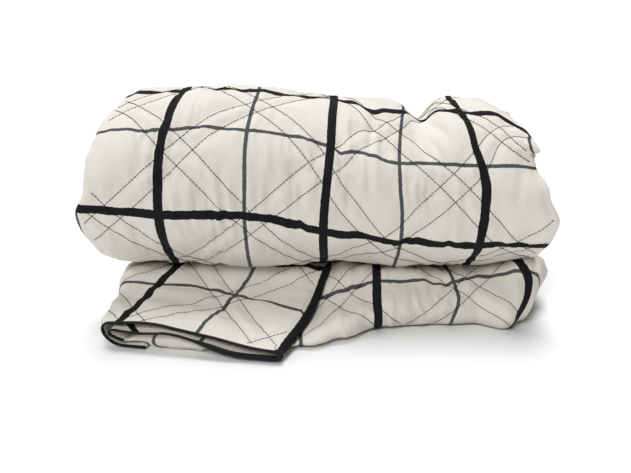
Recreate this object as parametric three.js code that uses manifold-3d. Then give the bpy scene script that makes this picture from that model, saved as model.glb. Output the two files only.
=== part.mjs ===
// A quilted bedspread, folded lengthwise into a strip of four plies and rolled up from one end.
// The strip's last stretch lies flat under the roll: its right part is tucked under in a round front fold,
// and its left part runs out to the bound hem, where the plies open like a book.
// Millimetres, +Z up, +X along the roll, the loose end toward -Y.
// The origin is on the floor under the roll's axis.
import * as THREE from "three";
import { mergeVertices } from "three/addons/utils/BufferGeometryUtils.js";
import Module from "manifold-3d";

const wasm = await Module();
wasm.setup();

// The cloth
const PLY = 5; // one thickness of quilted cloth
const QUILT_PITCH = 150; // between two crossings of the double quilting seams, along either side
const SEAM_PAIR = 30; // between the two seams of a pair, along either side
const PUFF = 4.5; // how far the wadding stands above a seam
const PUFF_SPREAD = 15; // how far from a seam the wadding is nearly full
const GRID = QUILT_PITCH / 10; // mesh step that puts points on every seam

// The roll
const AXIS_HEIGHT = 150;
const FRONT_RADIUS = 106;
const TURN_PITCH = 20.5; // the folded strip's thickness with the air between its turns
const ROLL_STEPS = 48; // points round one turn
const ROLL_START = 262; // angle at which the outer turn leaves the roll, underneath
const WEFT_SLANT = -0.046; // degrees that the cloth's rows turn per millimetre along the roll
const ROLL_SEAM_STEP = 31; // points from the start to a crossing of the quilting at the roll's middle
const EDGE_DEPTH = 10; // depth of the groove between two turns at the roll's ends
const EDGE_POINTS = 3; // points across one turn at the roll's ends
const CORE_RADIUS = 16; // where the spiral stops
const ROLL_INNER = 195; // columns stand on the seams' grid up to here
const END_DISH = 14; // how far the roll's core stands back from its rim

// Where the roll ends at each angle from the front, over the top to the back
const ROLL_ENDS = [
  { angle: -90, left: -248, right: 253 },
  { angle: -45, left: -259, right: 263 },
  { angle: -8, left: -268, right: 271 },
  { angle: 10, left: -256, right: 256 },
  { angle: 28, left: -254, right: 244 },
  { angle: 38, left: -250, right: 238 },
  { angle: 50, left: -246, right: 248 },
  { angle: 90, left: -227, right: 228 },
  { angle: 135, left: -236, right: 240 },
  { angle: 180, left: -250, right: 254 },
  { angle: 225, left: -250, right: 254 },
];

// Pinches and swells of the roll: centre, reach either way and height
const ROLL_LUMPS = [
  { x: 80, angle: 88, reachX: 150, reachAngle: 58, rise: -13 },
  { x: 124, angle: 112, reachX: 17, reachAngle: 56, rise: -21 },
  { x: 95, angle: 100, reachX: 30, reachAngle: 50, rise: -4 },
  { x: 112, angle: 52, reachX: 26, reachAngle: 22, rise: -7 },
  { x: 178, angle: 84, reachX: 36, reachAngle: 42, rise: -5 },
  { x: 232, angle: 104, reachX: 30, reachAngle: 50, rise: -10 },
  { x: 256, angle: 92, reachX: 44, reachAngle: 46, rise: -20 },
  { x: 256, angle: 26, reachX: 30, reachAngle: 10, rise: -13 },
  { x: -262, angle: 66, reachX: 44, reachAngle: 60, rise: -16 },
  { x: -190, angle: 100, reachX: 50, reachAngle: 50, rise: -3 },
  { x: -100, angle: 100, reachX: 60, reachAngle: 50, rise: 2 },
  { x: -250, angle: -56, reachX: 80, reachAngle: 40, rise: -8 },
  { x: 40, angle: -72, reachX: 46, reachAngle: 36, rise: -7 },
  { x: 245, angle: -64, reachX: 46, reachAngle: 36, rise: -9 },
  { x: -40, angle: 170, reachX: 120, reachAngle: 50, rise: 4 },
  { x: 90, angle: 200, reachX: 70, reachAngle: 40, rise: -4 },
];

// The strip's last stretch under the roll: its front fold, and its height at the roll and at the front
const LOWER_SECTIONS = [
  { x: -204, front: -84, height: 30, frontHeight: 16 },
  { x: -120, front: -110, height: 32, frontHeight: 14 },
  { x: -60, front: -132, height: 34, frontHeight: 11 },
  { x: -30, front: -152, height: 38, frontHeight: 11 },
  { x: -8, front: -150, height: 42, frontHeight: 14 },
  { x: 30, front: -134, height: 46, frontHeight: 26 },
  { x: 75, front: -113, height: 47, frontHeight: 40 },
  { x: 150, front: -106, height: 46, frontHeight: 42 },
  { x: 185, front: -103, height: 47, frontHeight: 44 },
  { x: 220, front: -118, height: 50, frontHeight: 44 },
  { x: 254, front: -100, height: 58, frontHeight: 53 },
  { x: 286, front: -52, height: 56, frontHeight: 50 },
];
const LOWER_TUCK = { from: 215, depth: 20 }; // its right end is drawn in toward the floor
const LOWER_EDGE = 26; // width over which its side edges are rounded
const LOWER_UPPER_BACK = 36; // where the upper layer joins the roll
const LOWER_UNDER_BACK = 52; // where the tucked layer ends
const LOWER_NOSE = 22; // depth of the round front fold
const LAYER_SLIT = 0.06; // air between the two layers, as a share of their height
const UPPER_LAYER = 0.75; // middle of each layer, as a share of their height
const UNDER_LAYER = 0.25;
const LOWER_SEAM_X = 28; // a crossing of the quilting on the front fold
const LOWER_SEAM_ALONG = 118; // and its distance from the upper layer's back, along the cloth

// Cloth pressed up in front of the roll's foot, along the roll
const FOOT_SWELL = { y: -50, reach: 27 };
const FOOT_RISES = [
  { x: -240, rise: 15 },
  { x: -120, rise: 14 },
  { x: -40, rise: 13 },
  { x: 40, rise: 15 },
  { x: 80, rise: 10 },
  { x: 150, rise: 9 },
  { x: 205, rise: 11 },
  { x: 245, rise: 15 },
];

// The loose end on the left: its corner, directions and the heights of its two upper plies at the hem
const FLAP_ROOT = { x: 18, y: -28 }; // where its right edge comes out from under the roll
const FLAP_HEM_TURN = THREE.MathUtils.degToRad(9.5); // slant of the hem
const FLAP_SIDE_TURN = THREE.MathUtils.degToRad(20); // slant of the side edges
const FLAP_BACK = 22; // where it starts, under the roll's axis
const FLAP_LENGTH = 154; // from its root to the hem
const FLAP_BOW = { across: 18, reach: 50, depth: 4.5 }; // the hem bows out near its right corner
const FLAP_FOLD = 192; // from its right edge to the left fold
const FLAP_DRAW = { length: 14, width: 7 }; // the binding draws that fold in at the hem
const FLAP_SPREAD = { along: 38, reach: 72, width: 30 }; // it is wider in front of the roll
const FLAP_SWAY = { from: 80, width: 6 }; // its hem is pulled to the left
const FLAP_ROLL_TOP = 43; // height of its top ply under the roll
const FLAP_POCKET = 45; // length over which the second ply falls away toward the hem
const FLAP_SECOND_OUT = 5; // how far the second ply's hem stands out from under the top ply's
const FLAP_HEM = [
  { across: 0, top: 14, second: 3.2 },
  { across: 25, top: 16.3, second: 4.6 },
  { across: 47, top: 19.6, second: 7.3 },
  { across: 68, top: 23, second: 13.6 },
  { across: 90, top: 25.9, second: 19.6 },
  { across: 113, top: 29.4, second: 24.6 },
  { across: 135, top: 33, second: 25.8 },
  { across: 155, top: 33.6, second: 24.6 },
  { across: 172, top: 32.2, second: 24.8 },
  { across: 189, top: 30.5, second: 24.4 },
];
const FLAP_SEAM = { across: 91.6, along: 87.5, stretch: 1.2 }; // a crossing of the quilting
const OUTER_FOLD = { from: 150, bulge: 16, undercut: 11, height: 3 }; // outer ply, turned under at the left
const INNER_FOLD = { from: 84, turn: 183, bulge: 5, drop: 8, foot: 174, height: 8.5 }; // turned inside it
const BUNCH = { floor: 0.6, overPly: 6.2, ramp: 14, gap: 3.2, nose: 10 }; // its edge, bunched up at the hem
const HEM_STEPS = 11; // steps from the roll to the hem

// The hem, where the ply is pressed thinner, and the binding sewn over it
const HEM_PLY = 2.4;
const HEM_TAPER = 14;
const BINDING_WIDTH = 4;
const BINDING_THICKNESS = 3.2;
const CLEARANCE = 0.3;
const CLOTH_GAP = 5; // between the outer ply's edge and cloth beside it

const COTTON_WHITE = new THREE.MeshStandardMaterial({ color: 0xe4e1da, roughness: 0.85, metalness: 0 });
const BINDING_BLACK = new THREE.MeshStandardMaterial({ color: 0x1b1a1b, roughness: 0.8, metalness: 0 });

const { degToRad, euclideanModulo, lerp, smoothstep } = THREE.MathUtils;

// Smooth reading of a table's column between its rows. A round table repeats after 360 degrees.
function readTable(rows, key, column, at, round = false) {
  const first = rows[0];
  const last = rows.at(-1);
  const wrapped = round ? euclideanModulo(at - first[key], 360) + first[key] : at;
  if (!round && wrapped <= first[key]) return first[column];
  if (!round && wrapped >= last[key]) return last[column];
  const closed = round ? [...rows, { ...first, [key]: first[key] + 360 }] : rows;
  const next = closed.findIndex((row) => row[key] > wrapped);
  const [a, b] = [closed[next - 1], closed[next]];
  return lerp(a[column], b[column], smoothstep(wrapped, a[key], b[key]));
}

function bell(at, middle, reach) {
  return Math.exp(-(((at - middle) / reach) ** 2));
}

// Height of the wadding at a point of the flat cloth, counted from a crossing of the seams
function quiltRelief(across, along) {
  const toSeam = (diagonal) => {
    const fromMiddle = euclideanModulo(diagonal + QUILT_PITCH / 2, QUILT_PITCH) - QUILT_PITCH / 2;
    return Math.abs(Math.abs(fromMiddle) - SEAM_PAIR / 2) / Math.SQRT2;
  };
  const nearest = Math.min(toSeam(across + along), toSeam(across - along));
  return PUFF * (1 - Math.exp(-((nearest / PUFF_SPREAD) ** 2)));
}

// Triangles over a grid of points. Each point may carry the relief of its cloth, and every square is split
// along its lower diagonal, so that seams stay sharp.
function patch(rows, closed, flipped = false) {
  const triangles = [];
  const low = (p) => p.relief ?? 0;
  const add = (...corners) => triangles.push(...(flipped ? corners.reverse() : corners));
  for (let i = 0; i + 1 < rows.length; i++) {
    for (let j = 0; j + (closed ? 0 : 1) < rows[i].length; j++) {
      const k = (j + 1) % rows[i].length;
      const [a, b, c, d] = [rows[i][j], rows[i][k], rows[i + 1][k], rows[i + 1][j]];
      if (low(a) + low(c) <= low(b) + low(d)) add(a, b, c, a, c, d);
      else add(a, b, d, b, c, d);
    }
  }
  return triangles;
}

// Triangles inside a loop that lies across the roll, wound along it unless flipped
function sectionCap(section, flipped) {
  const loop = flipped ? section.toReversed() : section;
  // A slight wobble keeps points on straight runs in the cap.
  const flat = loop.map((p, k) => new THREE.Vector2(p.y, p.z).addScalar(((k * k) % 7) * 1e-3));
  const along = THREE.ShapeUtils.area(flat) > 0;
  return THREE.ShapeUtils.triangulateShape(flat, []).flatMap(([a, b, c]) => {
    const same = THREE.ShapeUtils.area([flat[a], flat[b], flat[c]]) > 0 === along;
    return same ? [loop[a], loop[b], loop[c]] : [loop[a], loop[c], loop[b]];
  });
}

// Triangles across a ply, from the points of its one face to those of the other on the way back
function plyCap(loop, flipped) {
  const half = loop.length / 2;
  return patch([loop.slice(0, half), loop.slice(half).toReversed()], false, flipped);
}

// A closed solid through a row of closed loops of points
function loft(loops, capOf) {
  const triangles = [...patch(loops, true), ...capOf(loops[0], true), ...capOf(loops.at(-1), false)];
  return solidOf(new THREE.BufferGeometry().setFromPoints(triangles));
}

// A manifold solid of closed triangles, whichever way they were wound
function solidOf(geometry) {
  const merged = mergeVertices(geometry, 1e-3);
  const vertProperties = merged.attributes.position.array;
  const corners = Array.from(merged.index.array);
  const whole = corners.filter((_, i) => {
    const [a, b, c] = corners.slice(i - (i % 3), i - (i % 3) + 3);
    return a !== b && b !== c && c !== a;
  });
  const make = (triVerts) => new wasm.Manifold(new wasm.Mesh({ numProp: 3, vertProperties, triVerts }));
  const solid = make(Uint32Array.from(whole));
  return solid.volume() > 0 ? solid : make(Uint32Array.from(whole.reverse()));
}

function geometryOf(solid) {
  const { vertProperties, triVerts } = solid.getMesh();
  const geometry = new THREE.BufferGeometry();
  geometry.setAttribute("position", new THREE.BufferAttribute(vertProperties, 3));
  geometry.setIndex(new THREE.BufferAttribute(triVerts, 1));
  geometry.computeVertexNormals();
  return geometry;
}

// Radius of the wound strip's outer face, which shrinks from its start underneath toward the core
function woundRadius(step) {
  const turnsToFront = (ROLL_START / 360) * ROLL_STEPS;
  return FRONT_RADIUS + (TURN_PITCH * (turnsToFront - step)) / ROLL_STEPS;
}

// Angle of a step along the strip. The rows slant along the roll, except where the strip leaves it.
function woundAngle(step, x) {
  const share = euclideanModulo(step, ROLL_STEPS) / ROLL_STEPS;
  const slanted = smoothstep(share, 0, 0.25) * (1 - smoothstep(share, 0.75, 1));
  return ROLL_START - (step * 360) / ROLL_STEPS + WEFT_SLANT * x * slanted;
}

function lumps(x, angle) {
  return ROLL_LUMPS.reduce((sum, lump) => {
    const turned = euclideanModulo(angle - lump.angle + 180, 360) - 180;
    return sum + lump.rise * bell(x, lump.x, lump.reachX) * bell(turned, 0, lump.reachAngle);
  }, 0);
}

// A point of the roll at a radius, moved by the pinches and swells that pass through it
function rollPoint(x, angle, radius, relief = 0) {
  const swollen = radius + (radius / FRONT_RADIUS) ** 2 * lumps(x, angle) + relief;
  const turn = degToRad(angle);
  const point = new THREE.Vector3(x, -swollen * Math.cos(turn), AXIS_HEIGHT + swollen * Math.sin(turn));
  point.relief = relief;
  return point;
}

// Where one end of the roll stands at an angle and radius: uneven at the rim, dished toward the core
function rollEnd(side, angle, radius) {
  const share = Math.min(1, radius / FRONT_RADIUS);
  const mean = ROLL_ENDS.reduce((sum, row) => sum + row[side], 0) / ROLL_ENDS.length;
  const rim = readTable(ROLL_ENDS, "angle", side, angle, true);
  return lerp(mean, rim, share ** 3) - Math.sign(mean) * END_DISH * (1 - share) ** 2;
}

// A point on one end of the roll: a step along the wound strip, and a share of the way across its thickness.
// The strip's folded edge is round, so a groove runs between each turn and the next.
function endPoint(side, step, across) {
  if (across === 1) return endPoint(side, step + ROLL_STEPS, 0);
  const outward = side === "left" ? -1 : 1;
  const angle = woundAngle(step, outward * ROLL_INNER);
  const radius = woundRadius(step) - across * TURN_PITCH;
  const depth = EDGE_DEPTH * (1 - Math.sqrt(1 - (2 * across - 1) ** 2));
  return rollPoint(rollEnd(side, angle, radius) - outward * depth, angle, radius);
}

// One column of points round the roll's outer turn, and up the step where that turn starts
function rollColumn(x, toEnd, side) {
  const around = Array.from({ length: ROLL_STEPS + 1 }, (_, step) => ({ step, across: 0 }));
  for (let k = EDGE_POINTS - 1; k > 0; k--) around.push({ step: 0, across: k / EDGE_POINTS });
  return around.map(({ step, across }) => {
    const end = endPoint(side, step, across);
    if (toEnd === 1) return end;
    const angle = woundAngle(step, x);
    const at = lerp(x, end.x, toEnd);
    const relief = across > 0 ? 0 : quiltRelief(at, GRID * (step - ROLL_SEAM_STEP)) * (1 - toEnd);
    return rollPoint(at, angle, woundRadius(step) - across * TURN_PITCH, relief);
  });
}

// The spiral of folded edges on one end of the roll, closed at its core
function rollSpiral(side) {
  const flipped = side === "right";
  const steps = Math.round(((woundRadius(0) - TURN_PITCH - CORE_RADIUS) / TURN_PITCH) * ROLL_STEPS);
  const rows = Array.from({ length: steps + 1 }, (_, step) =>
    Array.from({ length: EDGE_POINTS + 1 }, (_, k) => endPoint(side, step, k / EDGE_POINTS)),
  );
  const rim = rows.slice(steps - ROLL_STEPS).map((row) => row.at(-1));
  rim.push(...rows.at(-1).slice(1, -1).toReversed());
  const core = rim.reduce((sum, p) => sum.add(p), new THREE.Vector3()).divideScalar(rim.length);
  return [...patch(rows, false, flipped), ...patch([rim, rim.map(() => core)], true, !flipped)];
}

// The roll's wound form, with the quilting raised on its outer face
function rollBody() {
  const edgeColumns = 4; // columns from the seams' grid out to each end
  const columns = [];
  for (let k = edgeColumns; k > 0; k--) columns.push(rollColumn(-ROLL_INNER, k / edgeColumns, "left"));
  for (let x = -ROLL_INNER; x <= ROLL_INNER; x += GRID) columns.push(rollColumn(x, 0, "left"));
  for (let k = 1; k <= edgeColumns; k++) columns.push(rollColumn(ROLL_INNER, k / edgeColumns, "right"));
  const triangles = [...patch(columns, true), ...rollSpiral("left"), ...rollSpiral("right")];
  return solidOf(new THREE.BufferGeometry().setFromPoints(triangles));
}

// Height of the stretch under the roll at a place on the floor
function lowerHeight(x, y) {
  const read = (column) => readTable(LOWER_SECTIONS, "x", column, x);
  const front = read("front") + LOWER_NOSE;
  const swell = footSwell(x, y) * smoothstep(x, -10, 40);
  return lerp(read("frontHeight"), read("height"), smoothstep(y, front, -30)) + swell;
}

function footSwell(x, y) {
  return readTable(FOOT_RISES, "x", "rise", x) * bell(y, FOOT_SWELL.y, FOOT_SWELL.reach);
}

// One section of the stretch under the roll: an upper layer, a round front fold and the layer tucked under it
function lowerSection(x) {
  const nose = readTable(LOWER_SECTIONS, "x", "front", x) + LOWER_NOSE;
  const upperBack = LOWER_UPPER_BACK - 44 * smoothstep(x, 236, LOWER_SECTIONS.at(-1).x);
  const upperSteps = 10;
  const noseSteps = 8;
  const slitSteps = 3;
  const slitEnd = nose + 3;
  const toEdge = Math.min(x - LOWER_SECTIONS[0].x, LOWER_SECTIONS.at(-1).x - x) / LOWER_EDGE;
  const fullness = 0.35 + 0.65 * Math.sqrt(1 - (1 - Math.min(1, toEdge)) ** 2);
  const loop = [];
  const add = (y, level, layer, relief = 0) => {
    const rounded = layer + (level - layer) * fullness;
    const tuck = LOWER_TUCK.depth * (1 - level) * smoothstep(x, LOWER_TUCK.from, LOWER_SECTIONS.at(-1).x);
    const point = new THREE.Vector3(x - tuck, y, rounded * lowerHeight(x, y));
    point.relief = relief;
    loop.push(point);
  };
  for (let k = 0; k < upperSteps; k++) {
    const y = lerp(upperBack, nose, k / upperSteps);
    const relief = quiltRelief(x - LOWER_SEAM_X, LOWER_UPPER_BACK - y - LOWER_SEAM_ALONG);
    add(y, 1, UPPER_LAYER, relief);
    loop.at(-1).z += relief - PUFF / 2;
  }
  for (let k = 0; k <= noseSteps; k++) {
    const turn = (Math.PI * k) / noseSteps;
    const along = LOWER_UPPER_BACK - nose + LOWER_NOSE * 1.6 * (k / noseSteps) * 2;
    const relief = k < noseSteps ? quiltRelief(x - LOWER_SEAM_X, along - LOWER_SEAM_ALONG) : PUFF / 2;
    const reach = LOWER_NOSE + relief - PUFF / 2;
    add(nose - reach * Math.sin(turn), 0.5 + 0.5 * Math.cos(turn), 0.5 + 0.25 * Math.cos(turn), relief);
  }
  add(lerp(nose, LOWER_UNDER_BACK, 0.5), 0, UNDER_LAYER);
  add(LOWER_UNDER_BACK, 0, UNDER_LAYER);
  add(LOWER_UNDER_BACK + 6, UNDER_LAYER, UNDER_LAYER);
  for (let k = 0; k <= slitSteps; k++) {
    add(lerp(LOWER_UNDER_BACK, slitEnd, k / slitSteps), 0.5 - LAYER_SLIT / 2, UNDER_LAYER);
  }
  for (let k = slitSteps; k >= 0; k--) {
    add(lerp(upperBack, slitEnd, k / slitSteps), 0.5 + LAYER_SLIT / 2, UPPER_LAYER);
  }
  return loop;
}

function lowerStretch() {
  const left = LOWER_SECTIONS[0].x;
  const right = LOWER_SECTIONS.at(-1).x;
  const columns = [left, left + 4, left + 2 * GRID];
  while (columns.at(-1) < -60) columns.push(columns.at(-1) + 3 * GRID);
  while (columns.at(-1) < right - 1.5 * GRID) columns.push(columns.at(-1) + GRID);
  columns.push(right - 4, right);
  return loft(columns.map(lowerSection), sectionCap);
}

// Distance from the root at a share of the way from under the roll to the hem
function flapAlong(across, share) {
  const start = (FLAP_ROOT.y - FLAP_BACK + across * Math.sin(FLAP_HEM_TURN)) / Math.cos(FLAP_SIDE_TURN);
  const hem = FLAP_LENGTH + FLAP_BOW.depth * bell(across, FLAP_BOW.across, FLAP_BOW.reach);
  return lerp(start, hem, share);
}

// A point of the loose end, given across from its right edge, along from the roll, and its height
function flapPoint(across, along, z) {
  const sway = FLAP_SWAY.width * smoothstep(along, FLAP_SWAY.from, FLAP_LENGTH);
  const x = FLAP_ROOT.x - across * Math.cos(FLAP_HEM_TURN) - along * Math.sin(FLAP_SIDE_TURN) - sway;
  const y = FLAP_ROOT.y + across * Math.sin(FLAP_HEM_TURN) - along * Math.cos(FLAP_SIDE_TURN);
  return new THREE.Vector3(x, y, z);
}

// Middle height of the top or second ply
function flapHeight(column, across, along) {
  const hem = readTable(FLAP_HEM, "across", "top", across);
  const place = flapPoint(across, along, 0);
  const top = lerp(FLAP_ROLL_TOP, hem, smoothstep(along, -10, FLAP_LENGTH)) + footSwell(place.x, place.y);
  if (column === "top") return top;
  const hemDrop = hem - readTable(FLAP_HEM, "across", "second", across);
  const drop = lerp(PLY + 0.6, hemDrop, smoothstep(along, FLAP_LENGTH - FLAP_POCKET, FLAP_LENGTH));
  return top - Math.max(drop, plyThickness(along) + 0.8);
}

// Middle height and thickness of the third ply, which is bunched up between the hem's plies
function bunched(across, along) {
  const edge = OUTER_FOLD.from - CLOTH_GAP;
  const low = lerp(BUNCH.floor, BUNCH.overPly, smoothstep(across, edge - BUNCH.ramp, edge));
  const under = readTable(FLAP_HEM, "across", "second", across) - HEM_PLY / 2 - BUNCH.gap;
  const high = Math.max(under, low + 2);
  const settled = smoothstep(INNER_FOLD.foot - across, 0, INNER_FOLD.foot - edge);
  const opened = settled * smoothstep(along, 0.6 * FLAP_LENGTH, 0.9 * FLAP_LENGTH);
  const toFront = THREE.MathUtils.clamp((along - FLAP_LENGTH + BUNCH.nose) / BUNCH.nose, 0, 1);
  return {
    z: lerp(INNER_FOLD.height, (low + high) / 2, settled),
    thickness: lerp(PLY, high - low, opened) * Math.sqrt(1.1 - toFront ** 2),
  };
}

function plyThickness(along) {
  return lerp(HEM_PLY, PLY, smoothstep(FLAP_LENGTH - along, 0, HEM_TAPER));
}

// How far the left fold reaches out at a turn from its underside, which stands back
function foldReach(turn) {
  const rise = 0.5 - 0.5 * Math.cos(turn);
  return OUTER_FOLD.bulge * Math.sin(turn) ** 0.9 - OUTER_FOLD.undercut * (1 - rise);
}

// Where the left fold starts, across from the right edge
function foldStart(along) {
  const spread = FLAP_SPREAD.width * bell(along, FLAP_SPREAD.along, FLAP_SPREAD.reach);
  const drawnIn = FLAP_DRAW.width * smoothstep(along, FLAP_LENGTH - FLAP_DRAW.length, FLAP_LENGTH);
  return FLAP_FOLD + spread - drawnIn;
}

// The ply's middle line in one section across the loose end, from the outer ply under the left fold,
// over the top to the right edge, back inside and into the inner ply's own fold
function flapLine(share) {
  const height = (column) => (across) => flapHeight(column, across, flapAlong(across, share));
  const line = [];
  const add = (across, z, more = {}) => {
    line.push({ across, z, relief: 0, out: 0, thickness: plyThickness(flapAlong(across, share)), ...more });
  };
  const run = (from, to, steps, z, outAt = () => 0) => {
    for (let k = 0; k < steps; k++) {
      const across = lerp(from, to, k / steps);
      add(across, z(across), { out: outAt(across) });
    }
  };
  const fold = (across, fromZ, toZ, reach, steps, out = 0) => {
    for (let k = 0; k < steps; k++) {
      const turn = (Math.PI * k) / steps;
      add(across + reach(turn), lerp(fromZ, toZ, 0.5 - 0.5 * Math.cos(turn)), { out });
    }
  };
  const top = height("top");
  const second = height("second");
  const left = foldStart(flapAlong(FLAP_FOLD, share));
  run(OUTER_FOLD.from, left - OUTER_FOLD.undercut, 3, () => OUTER_FOLD.height);
  fold(left, OUTER_FOLD.height, top(left), foldReach, 9);
  const topSteps = Math.round(FLAP_FOLD / GRID);
  for (let k = 0; k < topSteps; k++) {
    const across = lerp(left, 0, k / topSteps);
    const fromSeam = (flapAlong(across, share) - FLAP_SEAM.along) * FLAP_SEAM.stretch;
    const relief = quiltRelief(across - FLAP_SEAM.across, fromSeam);
    add(across, top(across), { relief: relief * (1 - smoothstep(share, 0.88, 1)) });
  }
  fold(0, top(0), second(0), (turn) => -5 * Math.sin(turn), 5);
  const out = FLAP_SECOND_OUT * smoothstep(share, 0.8, 1);
  const { turn, foot, bulge, drop } = INNER_FOLD;
  run(0, turn, 9, second, (across) => out * smoothstep(across, 5, 70));
  const foldEnd = second(turn) - drop;
  fold(turn, second(turn), foldEnd, (angle) => bulge * Math.sin(angle), 5, out);
  const toFoot = (across) => (turn - across) / (turn - foot);
  const slope = (across) => lerp(foldEnd, INNER_FOLD.height, toFoot(across));
  run(turn, foot, 2, slope, (across) => out * (1 - toFoot(across)));
  const edge = OUTER_FOLD.from - CLOTH_GAP;
  const middle = lerp(foot, edge, 0.5);
  const behind = lerp(edge - BUNCH.ramp, INNER_FOLD.from, 0.4);
  for (const across of [foot, middle, edge, edge - BUNCH.ramp, behind, INNER_FOLD.from]) {
    const { z, thickness } = bunched(across, flapAlong(across, share));
    add(across, z, { thickness });
  }
  return line;
}

// A closed loop round the ply's middle line, half a thickness to either side and a little beyond the hem
function flapLoop(line, share, beyond = 0) {
  const offset = (side) =>
    line.map((at, k) => {
      const before = line[Math.max(0, k - 1)];
      const after = line[Math.min(line.length - 1, k + 1)];
      const run = new THREE.Vector2(after.across - before.across, after.z - before.z).normalize();
      const relief = side > 0 ? at.relief : 0;
      const lift = (side * at.thickness) / 2 + relief;
      const across = at.across + run.y * lift;
      const along = flapAlong(across, share) + beyond + at.out;
      const point = flapPoint(across, along, at.z - run.x * lift);
      point.relief = relief;
      return point;
    });
  return [...offset(1), ...offset(-1).reverse()];
}

function looseEnd() {
  const loops = Array.from({ length: HEM_STEPS + 1 }, (_, k) => {
    const share = 1 - (1 - k / HEM_STEPS) ** 1.35;
    return flapLoop(flapLine(share), share);
  });
  return loft(loops, plyCap);
}

// The binding that covers the hem's edge, from the outer ply's edge to the slope under the inner fold
function hemBinding() {
  const stations = [
    { beyond: CLEARANCE, thickness: BINDING_THICKNESS },
    { beyond: CLEARANCE + BINDING_WIDTH * 0.7, thickness: BINDING_THICKNESS },
    { beyond: CLEARANCE + BINDING_WIDTH, thickness: BINDING_THICKNESS * 0.5 },
  ];
  const bunchColumns = 6;
  const bound = flapLine(1).slice(0, -bunchColumns);
  const loops = stations.map(({ beyond, thickness }) => {
    const line = bound.map((at) => ({ ...at, relief: 0, thickness }));
    return flapLoop(line, 1, beyond);
  });
  return loft(loops, plyCap);
}

function quiltedCover() {
  const joined = rollBody().add(lowerStretch()).add(looseEnd());
  // Air shut in between the layers is dropped, so that only the outer skin is left.
  return joined.decompose().reduce((largest, body) => (body.volume() > largest.volume() ? body : largest));
}

function named(name, solid, material) {
  const mesh = new THREE.Mesh(geometryOf(solid), material);
  mesh.name = name;
  return mesh;
}

const bedspread = new THREE.Group();
bedspread.add(named("quilted_cover", quiltedCover(), COTTON_WHITE));
bedspread.add(named("hem_binding", hemBinding(), BINDING_BLACK));

export default bedspread;
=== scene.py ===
"""A quilted bedspread, folded lengthwise into a strip of four plies and rolled up from one end.

The strip's last stretch lies under the roll. On the right it is tucked under in a round front fold, and on
the left it runs out to the bound hem, where the plies open like a book. Tables and shapes are worked out in
millimetres and degrees, in the frame's own axes: +X along the roll, the loose end toward -Y, +Z up.
"""

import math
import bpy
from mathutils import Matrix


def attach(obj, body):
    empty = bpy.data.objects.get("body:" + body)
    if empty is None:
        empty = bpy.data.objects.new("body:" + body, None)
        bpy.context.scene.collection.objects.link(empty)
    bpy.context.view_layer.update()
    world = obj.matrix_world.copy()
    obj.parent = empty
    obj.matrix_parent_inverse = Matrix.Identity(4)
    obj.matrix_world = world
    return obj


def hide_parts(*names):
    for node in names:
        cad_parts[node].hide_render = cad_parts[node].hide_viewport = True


bl_info = {
    "name": "Rolled Quilted Bedspread",
    "version": (1, 0, 0),
    "blender": (4, 5, 0),
    "location": "View3D > Sidebar > Bedspread",
    "description": "Dresses the frame of a rolled bedspread with its plies, print, quilting and hem",
    "category": "Add Mesh",
}

from collections import namedtuple

import bmesh
import bpy
import numpy as np
from mathutils.bvhtree import BVHTree

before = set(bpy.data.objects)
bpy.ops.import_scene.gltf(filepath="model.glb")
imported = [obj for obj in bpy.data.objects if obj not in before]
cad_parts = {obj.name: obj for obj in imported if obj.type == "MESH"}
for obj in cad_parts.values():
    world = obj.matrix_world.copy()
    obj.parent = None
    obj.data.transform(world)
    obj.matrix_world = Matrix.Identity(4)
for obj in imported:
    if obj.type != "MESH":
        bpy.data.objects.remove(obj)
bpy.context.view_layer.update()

MM = 0.001
CLOTH_MAP = "cloth"  # the UV map, in metres of flat cloth from a crossing of two black bands

# The wound strip
ROLL_STEPS = 48  # steps round one turn
ROLL_START = 262.0  # angle at which the outer turn leaves the roll, underneath
ROLL_CORE_STEP = 230  # step at which the strip's inner end lies
SEAM_STEP = 31.2  # a crossing of the quilting at the roll's middle
SEAM_STEP_ALONG = 14.1  # cloth in one step, by the quilting
GREY_STEP = 29.4  # the grey band that runs along the roll's front
CHECK_STEP_ALONG = 13.5
CHECK_UNDER_STEP = 37.0
CHECK_UNDER_ALONG = 11.0  # cloth in one step there
CHECK_UNDER_MOST = 30.0  # the most that this takes from the check's length
END_DISH = 14.0  # how far the roll's core stands back from its rim
END_ANGLE_X = 195.0  # where the rows' slant is read for the roll's ends
END_UNEVEN = 5.0  # how far the inner turns' ends stand in or out
END_UNEVEN_STEPS = 7.0  # between one that stands in and one that stands out
END_UNEVEN_FROM = 44  # the steps between which that sets in
END_UNEVEN_FULL = 56
END_SEEDS = {"left": 11, "right": 12}

RollEnd = namedtuple("RollEnd", "angle left right")
ROLL_ENDS = (
    RollEnd(-90, -248, 253),
    RollEnd(-45, -259, 263),
    RollEnd(-8, -268, 271),
    RollEnd(10, -256, 256),
    RollEnd(28, -254, 244),
    RollEnd(38, -250, 238),
    RollEnd(50, -246, 248),
    RollEnd(90, -227, 228),
    RollEnd(135, -236, 240),
    RollEnd(180, -250, 254),
    RollEnd(225, -250, 254),
)

# Pinches and swells of the roll
Lump = namedtuple("Lump", "x angle reach_x reach_angle rise")
ROLL_LUMPS = (
    Lump(80, 88, 150, 58, -13),
    Lump(124, 112, 17, 56, -21),
    Lump(95, 100, 30, 50, -4),
    Lump(112, 52, 26, 22, -7),
    Lump(178, 84, 36, 42, -5),
    Lump(232, 104, 30, 50, -10),
    Lump(256, 92, 44, 46, -20),
    Lump(256, 26, 30, 10, -13),
    Lump(-262, 66, 44, 60, -16),
    Lump(-190, 100, 50, 50, -3),
    Lump(-100, 100, 60, 50, 2),
    Lump(-250, -56, 80, 40, -8),
    Lump(40, -72, 46, 36, -7),
    Lump(245, -64, 46, 36, -9),
    Lump(-40, 170, 120, 50, 4),
    Lump(90, 200, 70, 40, -4),
)

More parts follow.
